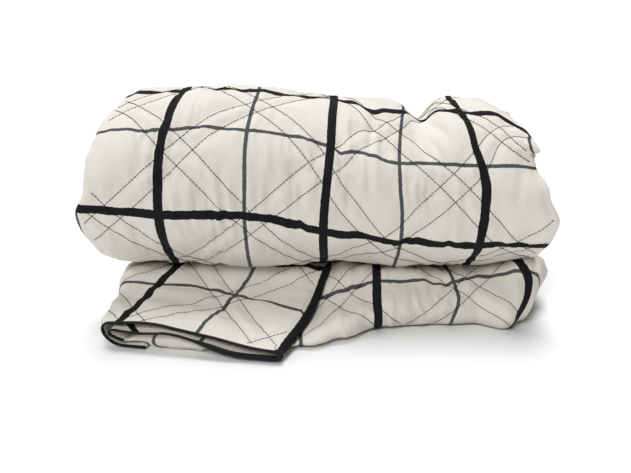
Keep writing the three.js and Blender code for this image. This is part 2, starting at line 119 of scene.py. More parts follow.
# Degrees that the check's three rows on the front are turned up, along the roll
Weft = namedtuple("Weft", "x top grey low")
WEFT_TURNS = (
    Weft(-250, 0, 10.5, 6.2),
    Weft(-168, -2, 6, 4.6),
    Weft(-126, 1, 8.5, 4.2),
    Weft(-77, -1, 5.8, 2.8),
    Weft(-20, -1, 3, -2.5),
    Weft(12, -2, -2.4, -7.2),
    Weft(30, -4.5, -7.2, -9.3),
    Weft(46, -8, -6.6, -11),
    Weft(58, -17, -8.5, -12.8),
    Weft(67, -21, -10.2, -14.5),
    Weft(76, -18, -12.4, -15.6),
    Weft(97, -14.5, -13.8, -16.6),
    Weft(111, -6.5, -13.2, -14.2),
    Weft(124, -12, -13.6, -15.4),
    Weft(136, -9.5, -14.1, -16),
    Weft(147, -16.5, -14.5, -16.7),
    Weft(164, -20.3, -15.1, -17.6),
    Weft(186, -21.7, -15.5, -18.6),
    Weft(206, -24, -15.5, -19.3),
    Weft(226, -33, -15.5, -20.8),
    Weft(242, -43, -15.8, -22),
)
TOP_STEP = 22.9  # the black band along the roll's top
LOW_STEP = 35.9  # and the one along its front
BACK_STEP = 12.0  # behind here the rows run straight again

# Where the check's columns stand along the roll at each angle, half a check apart
Warp = namedtuple("Warp", "angle left_edge left_black left_grey black grey right_black right_edge")
WARP_PLACES = (
    Warp(-50, -257, -168, -77, 10, 94, 182, 270),
    Warp(-5, -264, -171, -78, 9, 95, 185, 274),
    Warp(18, -263, -170.5, -76.5, 13, 91, 184, 272),
    Warp(38, -260, -168, -76, 17, 92, 175, 236),
    Warp(55, -252, -162.5, -73, 18.5, 95.5, 169.5, 239),
    Warp(95, -240, -151.5, -66, 22, 104, 159, 236),
    Warp(150, -253, -165, -82, 8, 92, 172, 260),
    Warp(230, -258, -170, -84, 2, 88, 178, 266),
)
SEAM_ACROSS = -6.5  # a crossing of the quilting, across from the middle black band
ROLL_X_PASSES = 5  # rounds in which a place along the roll is found, since the rows slant

# Soft troughs: where one lies sideways, the middle and half length of its run, its lean, width and depth
Crease = namedtuple("Crease", "at middle reach lean width depth")
CREASE_SIDES = 0.7  # how far a trough's sides are raised
ROLL_CREASES = (
    Crease(-50, 8, 16, 0.1, 6, 1.0),
    Crease(-25, 10, 18, 0.05, 5, 1.1),
    Crease(-16, 0, 14, -0.1, 5, 1.3),
    Crease(-57, -34, 14, 0.1, 5, 1.0),
    Crease(-44, -36, 12, 0.0, 5, 0.9),
    Crease(-28, -34, 14, -0.1, 6, 1.2),
    Crease(-12, -38, 12, -0.1, 5, 1.0),
    Crease(24, 52, 12, 0.1, 6, 2.2),
    Crease(139, 53, 12, -0.8, 5, 2.2),
    Crease(152, 56, 11, -0.35, 5, 2.0),
    Crease(161, 46, 10, -0.2, 5, 1.6),
    Crease(25, 2, 14, 0.1, 5, 1.2),
    Crease(36, 6, 14, 0.2, 6, 1.2),
    Crease(57, 18, 12, -0.5, 7, 1.6),
    Crease(70, 2, 20, -0.6, 8, 1.4),
    Crease(62, 50, 12, 0.1, 5, 3.2),
    Crease(72, 35, 10, 0.1, 5, 2.0),
    Crease(78, 34, 10, -0.1, 4, 1.6),
    Crease(116, 46, 14, -0.6, 6, 3.6),
    Crease(131, 40, 14, -0.8, 5, 2.6),
    Crease(40, -36, 12, 0.1, 6, 1.2),
    Crease(62, -34, 12, 0.0, 5, 1.0),
    Crease(100, -30, 14, 0.1, 7, 1.4),
    Crease(150, -30, 14, 0.0, 6, 1.2),
    Crease(-110, -34, 14, 0.1, 7, 1.1),
    Crease(-150, -36, 14, 0.0, 6, 1.0),
    Crease(-200, -20, 16, 0.1, 8, 1.4),
    Crease(205, -8, 18, -0.2, 8, 1.8),
    Crease(222, 16, 14, 0.3, 7, 2.0),
)

# Places where a seam pulls the check's rows out of line
Jog = namedtuple("Jog", "x step reach_x reach_step shift")
CHECK_JOGS = (
    Jog(-16, 35.8, 4, 2, 1.8),
    Jog(-9, 35.8, 4, 2, -1.6),
    Jog(27, 29.6, 4, 2, -2.0),
    Jog(108, 35.8, 4, 2, -1.5),
    Jog(150, 35.8, 5, 2, 2.0),
)

# The strip's plies in the roll
LEFT_FOLD_INSET = 9.2  # from the roll's left end to where the outer fold starts
INNER_FOLD_INSET = 22.0  # and where the fold inside it starts
RIGHT_FOLD_INSET = 5.0  # from the roll's right end to where its fold starts
THIRD_EDGE_INSET = 30.0  # from the roll's right end to the third ply's edge
FOURTH_EDGE_INSET = 22.0  # and to the fourth ply's
LEFT_FOLD_COLUMNS = 14
TIGHT_FOLD_COLUMNS = 8
ROW_DEGREES = 2.0  # between rows of the outer turn
INNER_ROW_DEGREES = 7.5  # and between rows of the turns inside it
# Columns across a ply, close at the pinch
RUN_SHARES = (0, 0.18, 0.36, 0.52, 0.63, 0.69, 0.715, 0.735, 0.75, 0.765, 0.78, 0.805, 0.85, 0.92)
FACE_COLUMNS = 200  # columns of the outer face
COLUMN_GAP = 0.02  # least share of a column between two of them
FACE_EDGE = 12.0  # width over which the face's relief fades at its sides

# The stretch under the roll: its front fold, and its height at the roll and at the front
Section = namedtuple("Section", "x front height front_height")
LOWER_SECTIONS = (
    Section(-204, -84, 30, 16),
    Section(-120, -110, 32, 14),
    Section(-60, -132, 34, 11),
    Section(-30, -152, 38, 11),
    Section(-8, -150, 42, 14),
    Section(30, -134, 46, 26),
    Section(75, -113, 47, 40),
    Section(150, -106, 46, 42),
    Section(185, -103, 47, 44),
    Section(220, -118, 50, 44),
    Section(254, -100, 58, 53),
    Section(286, -52, 56, 50),
)
LOWER_TUCK = 20.0  # how far its right end draws in at the floor
LOWER_TUCK_FROM = 215.0  # where that sets in
LOWER_EDGE = 26.0  # width over which its side edges are rounded
LOWER_EDGE_HEIGHT = 0.06  # share of a layer's height at the very edge
LOWER_ROLL_Y = -30.0  # where it has risen to its height under the roll
LOWER_SLOPE_LEAST = 0.001  # the least length of that rise
LOWER_SWELL_FROM = -10.0  # where the foot's swell sets in, and where it is full
LOWER_SWELL_FULL = 40.0
FOOT_SWELL_Y = -50.0  # where the cloth is pressed up in front of the roll's foot
FOOT_SWELL_REACH = 27.0
FootSwell = namedtuple("FootSwell", "x rise")
FOOT_SWELLS = (
    FootSwell(-240, 15),
    FootSwell(-120, 14),
    FootSwell(-40, 13),
    FootSwell(40, 15),
    FootSwell(80, 10),
    FootSwell(150, 9),
    FootSwell(205, 11),
    FootSwell(245, 15),
)
LOWER_UPPER_BACK = 36.0  # where the upper and under layers end behind
LOWER_UNDER_BACK = 52.0
LOWER_NOSE = 22.0  # how far the front fold reaches out
LOWER_UNDER_ROUND = 6.0  # how far the under layer's back edge is rounded
LOWER_BACK_CUT = 44.0  # how much shorter the upper layer is at its right corner
LOWER_BACK_CUT_FROM = 236.0
LAYER_SLIT = 0.06  # gap between the layers, as a share of their height
LAYER_SLIT_SHORT = 3.0  # how far behind the front fold it ends
LAYER_SLIT_COLUMNS = 4
UPPER_LAYER = 0.75  # middles of the layers, as shares of their height
UNDER_LAYER = 0.25
LOWER_SEAM_X = 28.0  # a crossing of the quilting
LOWER_SEAM_ALONG = 118.0
LOWER_NOSE_ALONG = 70.0  # cloth round the front fold
LOWER_CHECK_SHARE = 0.84
LOWER_HIDDEN_ALONG = 40.0  # cloth from the front fold to the middle of what is hidden
LOWER_PITCH = 2.4  # between sections of the mesh
LOWER_COLUMNS = 66  # points of a section, over the top and round the fold

# Where the check's columns stand on it by the cloth's length, half a check apart, and its grey row
LowerWarp = namedtuple("LowerWarp", "along left_grey black grey right_black")
LOWER_WARPS = (
    LowerWarp(50, -17, 75, 154, 232),
    LowerWarp(85, -17, 74, 160.5, 239),
    LowerWarp(117, -17, 72, 165, 248),
    LowerWarp(138, -17, 71, 166, 245.5),
    LowerWarp(160, -17, 72, 160.5, 237),
    LowerWarp(200, -16, 73, 157, 230),
)
LowerRow = namedtuple("LowerRow", "x grey")
LOWER_ROWS = (
    LowerRow(-20, 118),
    LowerRow(7, 116),
    LowerRow(31, 114),
    LowerRow(52, 109.5),
    LowerRow(102, 110),
    LowerRow(134, 107),
    LowerRow(147, 111),
    LowerRow(164, 108.5),
    LowerRow(195, 103),
    LowerRow(235, 106),
    LowerRow(254, 113),
    LowerRow(284, 122),
)

# The loose end: its corner, slants and the heights of its two upper plies at the hem
FLAP_ROOT_X = 18.0  # where its right edge comes out from under the roll
FLAP_ROOT_Y = -28.0
FLAP_HEM_TURN = math.radians(9.5)
FLAP_SIDE_TURN = math.radians(20)
FLAP_BACK = 22.0  # how far it reaches back under the roll
FLAP_LENGTH = 154.0  # from its root to the hem
FLAP_BOW = 4.5  # how far the hem bows out near its right corner
FLAP_BOW_ACROSS = 18.0
FLAP_BOW_REACH = 50.0
FLAP_FOLD = 192.0  # from its right edge to the left fold
FLAP_DRAW = 7.0  # how far the binding draws the left fold in at the hem
FLAP_DRAW_LENGTH = 14.0
FLAP_SPREAD = 30.0  # how much wider it is in front of the roll
FLAP_SPREAD_ALONG = 38.0
FLAP_SPREAD_REACH = 72.0
FLAP_SWAY = 6.0  # how far the hem is pulled to the left
FLAP_SWAY_FROM = 80.0
FLAP_ROLL_TOP = 43.0  # its top ply's height under the roll
FLAP_SLOPE_FROM = -10.0  # where it starts to fall toward the hem
FLAP_PLY_DROP = 5.6  # from the top ply to the second, behind the hem
FLAP_PLY_GAP = 0.8  # the least gap between them
FLAP_POCKET = 45.0  # length over which the second ply falls away toward the hem
FLAP_SECOND_OUT = 5.0  # how far its hem stands out from under the top ply's
FLAP_SECOND_OUT_FROM = 5.0  # places across between which it does so
FLAP_SECOND_OUT_FULL = 70.0
FLAP_SECOND_OUT_SHARE = 0.8  # share of the way to the hem at which that sets in
HemRow = namedtuple("HemRow", "across top second")
FLAP_HEM = (
    HemRow(0, 14, 5.6),
    HemRow(25, 16.3, 6.6),
    HemRow(47, 19.6, 8.4),
    HemRow(68, 23, 13.6),
    HemRow(90, 25.9, 19.6),
    HemRow(113, 29.4, 24.6),
    HemRow(135, 33, 25.8),
    HemRow(155, 33.6, 24.6),
    HemRow(172, 32.2, 24.8),
    HemRow(189, 30.5, 24.4),
)
FLAP_SEAM_ACROSS = 91.6  # a crossing of the quilting
FLAP_SEAM_ALONG = 87.5
FLAP_SEAM_STRETCH = 1.2  # cloth in one millimetre of its length
FLAP_FLAT_FROM = 0.84  # shares of its length between which the hem presses the quilting flat
FLAP_FLAT_FULL = 0.99
FLAP_FLAT_WRINKLES = 0.3  # share of the wrinkles that stays there
FLAP_PUCKER_SHARE = 0.8
FLAP_FLOOR_GAP = 0.2  # least height above the floor
OUTER_FOLD_FROM = 150.0  # where the ply under the left fold ends
OUTER_FOLD_BULGE = 16.0  # how far the fold reaches out
OUTER_FOLD_UNDERCUT = 11.0  # how far its underside stands back
OUTER_FOLD_HEIGHT = 3.0  # middle height of the ply under it
OUTER_FOLD_FULLNESS = 0.9  # power of the fold's roundness, fuller below 1
OUTER_FOLD_RUN = 8  # columns of the ply that lies under the fold
RIGHT_FOLD_BULGE = 5.0
INNER_FOLD_FROM = 84.0  # where the third ply ends
INNER_FOLD_TURN = 183.0  # where it is folded on from the second
INNER_FOLD_BULGE = 5.0
INNER_FOLD_DROP = 8.0
INNER_FOLD_FOOT = 174.0  # where the slope under it ends
INNER_FOLD_HEIGHT = 8.5
INNER_FOLD_START = 18.0  # width over which the bunched ply swells from the fold
FLAP_ROWS = 72
FLAP_ROW_POWER = 1.35  # rows stand closer toward the hem
FLAP_COLUMN = 3.0  # width of the top ply's columns
SECOND_COLUMNS = 48
BUNCH_COLUMNS = 40
SMALL_FOLD_COLUMNS = 10
SLOPE_COLUMNS = 8
FOLD_COLUMNS = 20
FOLD_CLOTH = 14.6  # cloth of the left fold in one radian of its turn
BUNCH_FLOOR = 0.6  # the bunched third ply's lowest height, and over the outer ply
BUNCH_OVER_PLY = 5.6
BUNCH_STEP = 8.0  # width of the step up onto the outer ply
BUNCH_UNDER_HEM = 3.2
BUNCH_LEAST = 2.0
BUNCH_OPEN_FROM = 0.6  # shares of the loose end's length between which it opens out
BUNCH_OPEN_FULL = 0.9
BUNCH_NOSE = 10.0  # length of its rounded front
BUNCH_NOSE_FULLNESS = 1.02
RUMPLE_RISE = 1.2  # of the second ply's crumples near its fold
RUMPLE_WIDTH = 11.0
RUMPLE_ROWS = 4
RUMPLE_SEED = 61
RUMPLE_SHARE = 0.5  # share of the way to the hem at which they set in
RUMPLE_FROM = 120.0
RUMPLE_FULL = 140.0
RUMPLE_FADE = 12.0

# Where the check's columns stand on the loose end by its length, half a check apart, and its two rows
FlapWarp = namedtuple("FlapWarp", "along under_black under_grey edge grey black")
FLAP_WARPS = (
    FlapWarp(-20, -177, -100, -5, 74, 165),
    FlapWarp(35, -177, -100, -5, 78, 168),
    FlapWarp(62, -177, -100, -5, 83, 171),
    FlapWarp(90, -177, -100, -5, 88, 178),
    FlapWarp(122, -195, -100, -5, 89, 180.5),
    FlapWarp(138, -192, -100, -5, 90, 181),
    FlapWarp(154, -173, -100, -5, 91, 181),
)
FlapRow = namedtuple("FlapRow", "across black grey")
FLAP_CHECK_ROWS = (
    FlapRow(0, 27, 91),
    FlapRow(28, 24.5, 86.5),
    FlapRow(48, 28, 83.5),
    FlapRow(70, 29, 80),
    FlapRow(90, 22, 78.5),
    FlapRow(120, 20, 77),
    FlapRow(150, 26, 81),
    FlapRow(172, 34, 83.5),
    FlapRow(215, 30, 84),
)
FLAP_CREASES = (
    Crease(52, 60, 40, 0.05, 7, 1.6),
    Crease(64, 150, 50, 0.0, 7, 1.8),
    Crease(84, 160, 40, 0.05, 6, 1.4),
    Crease(100, 110, 60, 0.05, 8, 1.9),
    Crease(116, 50, 40, -0.05, 7, 1.8),
    Crease(130, 30, 30, 0.0, 6, 1.6),
    Crease(136, 120, 40, 0.1, 7, 1.4),
)

# The hem's binding: how far each ring of its tape lies beyond the hem, and how far it stands off the ply
Ring = namedtuple("Ring", "beyond proud")
BINDING_RINGS = (
    Ring(-0.5, 0.05),
    Ring(-0.3, 0.3),
    Ring(0.8, 0.4),
    Ring(1.9, 0.4),
    Ring(2.6, 0.2),
    Ring(3.0, -0.1),
    Ring(3.1, -0.4),
)
HEM_PLY = 1.4  # the ply's thickness where the binding presses it together
HEM_TAPER = 14.0  # length over which it thins toward the hem
HEM_ROLL = 1.8  # how much thicker the second ply's tape is where it rolls up near the right corner
HEM_ROLL_ACROSS = 96.0
HEM_ROLL_FADE = 30.0

# Soft wrinkles: how high they stand, how wide they are both ways over the cloth, and their draw
Wrinkle = namedtuple("Wrinkle", "rise sideways onward seed")
ROLL_FINE = Wrinkle(0.6, 8, 14, 21)
ROLL_BROAD = Wrinkle(1.3, 17, 18, 22)
ROLL_SWAY = Wrinkle(0.5, 30, 14, 23)
ROLL_PATCHES = Wrinkle(0.5, 45, 28, 24)
ROLL_PATCH_MEAN = 0.6
LOWER_WRINKLES = (Wrinkle(1.0, 14, 18, 41), Wrinkle(0.7, 8, 24, 42))
FLAP_BROAD = Wrinkle(2.9, 70, 13, 52)
FLAP_DRIFT = Wrinkle(0.4, 35, 30, 53)
FLAP_FINE = Wrinkle(0.5, 18, 8, 54)
BUNCH_CRUMPLES = (Wrinkle(0.16, 7, 9, 62), Wrinkle(0.12, 17, 14, 63))

# Places where the cloth is drawn smooth, and the share of its wrinkles that is taken away
Calm = namedtuple("Calm", "middle reach share")
ROLL_WRINKLE_CALM = (Calm(84, 24, 0.65),)
ROLL_PUCKER_CALM = (Calm(84, 26, 0.85), Calm(-58, 20, 0.8))
FLAP_CALM = (Calm(79, 13, 0.8),)

# Thin wandering troughs that run one way over the cloth
Pucker = namedtuple("Pucker", "width length seed")
ROLL_PUCKERS = Pucker(7, 34, 61)
FLAP_PUCKERS = Pucker(11, 55, 65)
LOWER_PUCKERS = Pucker(8, 34, 69)
PUCKER_RISE = 3.6  # of the cloth between the troughs
PUCKER_SOFTNESS = 0.07
PUCKER_MEAN = 0.4  # share of that rise at which the cloth lies on the whole
PUCKER_STRENGTH = 0.6
PUCKER_WEAKEST = 0.25
PUCKER_STRONGEST = 1.4

# How puckers change from place to place: how far, over how many of their widths and lengths, and the draw
PuckerChange = namedtuple("PuckerChange", "amount widths lengths draw")
PUCKER_SWAY = PuckerChange(0.9, 5, 0.8, 0)
PUCKER_DRIFT = PuckerChange(0.8, 1.6, 2, 1)
PUCKER_FOLDS = PuckerChange(1, 1, 1, 2)
PUCKER_PATCHES = PuckerChange(1, 8, 1.7, 3)

# Quilting
PUFF_SPREAD = 13.0
PUFF_POWER = 1.6
GATHER_PITCH = 7.0  # between the small puckers that a seam draws up
GATHER_LENGTH = 90.0
GATHER_REACH = 11.0
GATHER_RISE = 0.55
ROLL_SEED = 31  # draws of the gathers on each piece
LOWER_SEED = 43
FLAP_SEED = 51
STITCH_PITCH = 4.2
STITCH_LENGTH = 3.8
STITCH_SIDES = 5

# A stitch's rings: share of its length, height over the cloth and thickness
StitchRing = namedtuple("StitchRing", "share lift width")
STITCH_RINGS = (
    StitchRing(0, -0.2, 0.6),
    StitchRing(0.15, 0.2, 1.0),
    StitchRing(0.85, 0.2, 1.0),
    StitchRing(1, -0.2, 0.6),
)
STITCH_AHEAD = 0.1  # share of its length by which its run is read

# How far the seams stop short of the edges, and the flat cloth that is searched for them on each piece
ROLL_SEAM_STEPS = 2
ROLL_SEAM_LEFT = 10.0
ROLL_SEAM_RIGHT = 6.0
LOWER_SEAM_LEFT = -20.0
LOWER_SEAM_RIGHT = 14.0
LOWER_SEAM_BACK = 44.0
LOWER_SEAM_ROUND = 52.0  # how far they run on round the front fold
FLAP_SEAM_RIGHT = 2.0
FLAP_SEAM_ROUND = 30.0
FLAP_SEAM_BACK = -30.0
FLAP_SEAM_HEM = 0.5
ROLL_SEAM_REACH = 450
LOWER_SEAM_REACH = 320
FLAP_SEAM_REACH = 240

# The view
PICTURE_WIDTH = 631
SENSOR_WIDTH = 36.0
FOCAL_PIXELS = 735.0
VIEW_PITCH = math.radians(22)
VIEW_DEPTH = 900.0  # from the eye to the roll's axis
VIEW_RISE = 69.0  # of the axis above the middle of the picture

# Broad soft lights: degrees from overhead, turned round the upright from the front, and degrees of spread
SoftLight = namedtuple("SoftLight", "name tilt turn spread strength")
SOFT_LIGHTS = (
    SoftLight("key_light", 43, -26, 20, 1.4),
    SoftLight("top_light", 12, 180, 30, 2.05),
    SoftLight("back_light", 45, 180, 40, 0.75),
    SoftLight("side_light", 60, -75, 25, 0.3),
)
WORLD_STRENGTH = 0.03
FLOOR_REACH = 8.0  # in metres
FLOOR_ROUGHNESS = 0.9


def length_property(name, description, default):
    return bpy.props.FloatProperty(name=name, description=description, default=default, unit="LENGTH")


class BedspreadSizes(bpy.types.PropertyGroup):
    """Sizes of the cloth and of the roll, in metres"""

    ply: length_property("Ply", "Thickness of one layer of the quilted cloth", 0.0046)
    ply_pitch: length_property("Ply Pitch", "From one ply of the folded strip to the next", 0.00485)
    quilt_pitch: length_property("Quilt Pitch", "Between two crossings of the double seams", 0.150)
    seam_pair: length_property("Seam Pair", "Between the two seams of a pair, along the cloth", 0.030)
    puff: length_property("Puff", "How far the wadding stands above a seam", 0.0045)
    check_pitch: length_property("Check Pitch", "Between two black bands of the check", 0.175)
    black_band: length_property("Black Band", "Width of the check's black bands", 0.0100)
    grey_band: length_property("Grey Band", "Width of the check's grey bands", 0.0042)
    thread: length_property("Thread", "Thickness of the quilting thread", 0.0009)
    axis_height: length_property("Axis Height", "Height of the roll's axis above the floor", 0.150)
    front_radius: length_property("Front Radius", "Radius of the roll at its front", 0.106)
    turn_pitch: length_property("Turn Pitch", "From one turn of the strip to the next", 0.0205)


def colour_property(name, description, default):
    return bpy.props.FloatVectorProperty(
        name=name, description=description, default=default, size=4, min=0, max=1, subtype="COLOR"
    )


class BedspreadColours(bpy.types.PropertyGroup):
    """Colours of the print, the thread, the binding and the floor"""

    ground: colour_property("Ground", "The cloth between the bands", (0.785, 0.75, 0.684, 1))
    black: colour_property("Black Band", "The check's wide bands", (0.009, 0.009, 0.0095, 1))
    grey: colour_property("Grey Band", "The check's narrow bands", (0.085, 0.092, 0.09, 1))
    thread: colour_property("Thread", "The quilting thread", (0.012, 0.012, 0.012, 1))
    binding: colour_property("Binding", "The tape round the hem", (0.014, 0.014, 0.015, 1))
    floor: colour_property("Floor", "The studio floor", (0.92, 0.92, 0.92, 1))


def size(name):
    """A size of the bedspread in millimetres"""
    return getattr(bpy.context.scene.bedspread_sizes, name) / MM


def half_check():
    """From a black band of the check to the grey one beside it"""
    return size("check_pitch") / 2


def colour(name):
    return tuple(getattr(bpy.context.scene.bedspread_colours, name))


# Reading tables and shaping curves


def lerp(low, high, share):
    return low + (high - low) * share


def smoothstep(at, low, high):
    share = np.clip((at - low) / (high - low), 0, 1)
    return share * share * (3 - 2 * share)


def bell(at, middle, reach):
    return np.exp(-(((at - middle) / reach) ** 2))


def turned(turn):
    """Share of the height that a round fold has reached at a turn"""
    return 0.5 - 0.5 * np.cos(turn)


def column_of(rows, name):
    return np.array([getattr(row, name) for row in rows], float)


def keyed(rows, column):
    """A table's first column, by which it is read, and another one"""
    return column_of(rows, rows[0]._fields[0]), column_of(rows, column)


def read_table(rows, column, at, period=None):
    """Smooth reading of a table's column between its rows, which may repeat after a period"""
    keys, values = keyed(rows, column)
    at = np.asarray(at, float)
    if period:
        keys, values = np.append(keys, keys[0] + period), np.append(values, values[0])
        at = (at - keys[0]) % period + keys[0]
    after = np.clip(np.searchsorted(keys, at, side="right"), 1, len(keys) - 1)
    share = smoothstep(at, keys[after - 1], keys[after])
    return lerp(values[after - 1], values[after], share)


def read_flowing(rows, column, at, period=None):
    """Reading of a table's column along a curve through its rows, level beyond them unless it repeats"""
    keys, values = keyed(rows, column)
    at = np.asarray(at, float)
    if period:
        keys = np.concatenate([keys[-2:] - period, keys, keys[:2] + period])
        values = np.concatenate([values[-2:], values, values[:2]])
        at = (at - keys[2]) % period + keys[2]
    at = np.clip(at, keys[0], keys[-1])
    after = np.clip(np.searchsorted(keys, at, side="right"), 1, len(keys) - 1)
    before = after - 1
    slopes = np.gradient(values, keys)
    span = keys[after] - keys[before]
    share = (at - keys[before]) / span
    rise = smoothstep(share, 0, 1)
    leaving = share * (1 - share) ** 2 * span * slopes[before]
    arriving = share * share * (share - 1) * span * slopes[after]
    return lerp(values[before], values[after], rise) + leaving + arriving


def read_columns(rows, at, period=None):
    """All the columns after a table's first one, along their curves"""
    return [read_flowing(rows, column, at, period) for column in rows[0]._fields[1:]]


def soft_noise(across, along, seed):
    """Smooth noise from -1 to 1 over a plane, the same on every run"""
    cells = 64
    grain = np.random.default_rng(seed).uniform(-1, 1, (cells, cells))
    across, along = np.broadcast_arrays(across, along)
    column, row = np.floor(across).astype(int), np.floor(along).astype(int)
    right, up = smoothstep(across - column, 0, 1), smoothstep(along - row, 0, 1)

    def corner(columns, rows):
        return grain[(column + columns) % cells, (row + rows) % cells]

    low = lerp(corner(0, 0), corner(1, 0), right)
    high = lerp(corner(0, 1), corner(1, 1), right)
    return lerp(low, high, up)


def creased(rows, sideways, along):
    """Depth of a table's soft troughs, each with slightly raised sides"""
    total = 0.0
    for crease in rows:
        offset = (sideways - crease.at - crease.lean * (along - crease.middle)) / crease.width
        profile = (1 - CREASE_SIDES * offset**2) * np.exp(-(offset**2))
        total = total - crease.depth * profile * bell(along, crease.middle, crease.reach)
    return total


# The quilted cloth


def wrinkled(row, sideways, onward, sway=0.0, drift=0.0):
    """Height of soft wrinkles, which may wander sideways and run on unevenly"""
    return row.rise * soft_noise(sideways / row.sideways + sway, onward / row.onward + drift, row.seed)


def calmed(rows, at):
    """Share of the wrinkles that is left at a place"""
    left = 1
    for row in rows:
        left = left - row.share * bell(at, row.middle, row.reach)
    return left


def puckers(row, sideways, onward):
    """Thin wandering troughs, deeper in some places than in others"""

    def drawn(change, sway=0.0, drift=0.0):
        widths = sideways / (change.widths * row.width) + sway
        lengths = onward / (change.lengths * row.length) + drift
        return change.amount * soft_noise(widths, lengths, row.seed + change.draw)

    folds = drawn(PUCKER_FOLDS, drawn(PUCKER_SWAY), drawn(PUCKER_DRIFT))
    strength = np.clip(PUCKER_STRENGTH + drawn(PUCKER_PATCHES), PUCKER_WEAKEST, PUCKER_STRONGEST)
    return PUCKER_RISE * strength * (np.hypot(folds, PUCKER_SOFTNESS) - PUCKER_MEAN)


def quilt_relief(across, along, seed):
    """Height of the wadding at a point of the flat cloth, counted from a crossing of the seams"""
    pitch, pair = size("quilt_pitch"), size("seam_pair")

    def to_seam(diagonal):
        from_middle = (diagonal + pitch / 2) % pitch - pitch / 2
        return np.abs(np.abs(from_middle) - pair / 2) / math.sqrt(2)

    rising, falling = across + along, across - along
    nearest = np.minimum(to_seam(rising), to_seam(falling))
    loft = size("puff") * (1 - np.exp(-((nearest / PUFF_SPREAD) ** PUFF_POWER)))
    gathers = 0.0
    for draw, (beside_seam, along_seam) in enumerate(((rising, falling), (falling, rising))):
        folds = soft_noise(along_seam / GATHER_PITCH, beside_seam / GATHER_LENGTH, seed + draw)
        gathers = gathers + folds * bell(to_seam(beside_seam), 0, GATHER_REACH)
    return loft + GATHER_RISE * gathers


# The wound strip


def wound_radius(step):
    """Radius of the strip's outer face, which shrinks from its start underneath toward the core"""
    to_front = ROLL_START / 360 * ROLL_STEPS
    return size("front_radius") + size("turn_pitch") * (to_front - step) / ROLL_STEPS


def wound_angle(step, x):
    """Angle of a step along the strip, whose rows slant except behind and where the strip leaves the roll"""
    top, grey, low = read_columns(WEFT_TURNS, x)
    round_it = step % ROLL_STEPS
    turn = top * (smoothstep(round_it, 0, BACK_STEP) + smoothstep(round_it, BACK_STEP, TOP_STEP)) / 2
    turn = turn + (grey - top) * smoothstep(round_it, TOP_STEP, GREY_STEP)
    turn = turn + (low - grey) * smoothstep(round_it, GREY_STEP, LOW_STEP)
    turn = turn - low * smoothstep(round_it, LOW_STEP, ROLL_STEPS)
    return ROLL_START - step * 360 / ROLL_STEPS + turn


def warp_places(angle):
    """Where the check's columns stand along the roll at an angle"""
    return read_columns(WARP_PLACES, angle, 360)


def over_bands(place, bands):
    """How far across the cloth a place lies from the first of some bands, which are half a check apart"""
    across = np.minimum(place - bands[0], 0) + np.maximum(place - bands[-1], 0)
    for start, end in zip(bands, bands[1:]):
        across = across + half_check() * np.clip((place - start) / (end - start), 0, 1)
    return across


def cloth_across(x, angle):
    """How far across the cloth a place along the roll lies, from the middle black band"""
    places = warp_places(angle)
    return over_bands(x, places) - len(places) // 2 * half_check()


def cloth_x(across, angle):
    """The place along the roll of a point across the cloth"""
    places = warp_places(angle)
    from_first = across / half_check() + len(places) // 2
    beyond = np.minimum(from_first, 0) + np.maximum(from_first - len(places) + 1, 0)
    x = places[0] + beyond * half_check()
    for k, (start, end) in enumerate(zip(places, places[1:])):
        x = x + (end - start) * np.clip(from_first - k, 0, 1)
    return x


def roll_wrinkles(x, angle):
    """Soft wrinkles that run round the roll, and its main creases"""
    sway = wrinkled(ROLL_SWAY, x, angle)
    patches = ROLL_PATCH_MEAN + wrinkled(ROLL_PATCHES, x, angle)
    fine = wrinkled(ROLL_FINE, x, angle, sway) * patches
    broad = wrinkled(ROLL_BROAD, x, angle, sway)
    return (fine + broad) * calmed(ROLL_WRINKLE_CALM, angle) + creased(ROLL_CREASES, x, angle)


def roll_place(x, angle, radius):
    """Points of the roll at a radius, moved by the pinches, swells and wrinkles that pass through it"""
    lumps = roll_wrinkles(x, (angle + 90) % 360 - 90)
    for lump in ROLL_LUMPS:
        turned = (angle - lump.angle + 180) % 360 - 180
        lumps = lumps + lump.rise * bell(x, lump.x, lump.reach_x) * bell(turned, 0, lump.reach_angle)
    swollen = radius + (radius / size("front_radius")) ** 2 * lumps
    turn = np.radians(angle)
    x, swollen, turn = np.broadcast_arrays(x, swollen, turn)
    return np.stack([x, -swollen * np.cos(turn), size("axis_height") + swollen * np.sin(turn)], axis=-1)


def roll_end(side, step):
    """Where one end of the roll stands at a step: uneven at the rim, dished toward the core"""
    facing = -1 if side == "left" else 1
    angle = wound_angle(step, facing * END_ANGLE_X)
    share = np.minimum(1, wound_radius(step) / size("front_radius"))
    mean = column_of(ROLL_ENDS, side).mean()
    rim = read_table(ROLL_ENDS, side, angle, 360)
    uneven = END_UNEVEN * soft_noise(step / END_UNEVEN_STEPS, 0.0, END_SEEDS[side])
    uneven = uneven * smoothstep(step, END_UNEVEN_FROM, END_UNEVEN_FULL)
    return lerp(mean, rim, share**3) - facing * (END_DISH * (1 - share) ** 2 + uneven)


def roll_relief(x, step):
    """How far the outer turn's face stands off its wound radius"""
    angle = wound_angle(step, x)
    across = cloth_across(x, angle) - SEAM_ACROSS
    along = SEAM_STEP_ALONG * (step - SEAM_STEP)
    troughs = puckers(ROLL_PUCKERS, x, along) * calmed(ROLL_PUCKER_CALM, angle)
    return quilt_relief(across, along, ROLL_SEED) + troughs


def roll_x(across, step):
    """The place along the roll of a point of the cloth, counted across from a crossing of the seams"""
    x = across
    for _ in range(ROLL_X_PASSES):
        x = cloth_x(across + SEAM_ACROSS, wound_angle(step, x))
    return x


def roll_face(across, along):
    """Points of the roll's outer face, by the flat cloth's measures from a crossing of the seams"""
    step = SEAM_STEP + along / SEAM_STEP_ALONG
    x = roll_x(across, step)
    return roll_place(x, wound_angle(step, x), wound_radius(step) + roll_relief(x, step))


# Plies that lie in sections: a middle line, and the cloth's two faces beside it


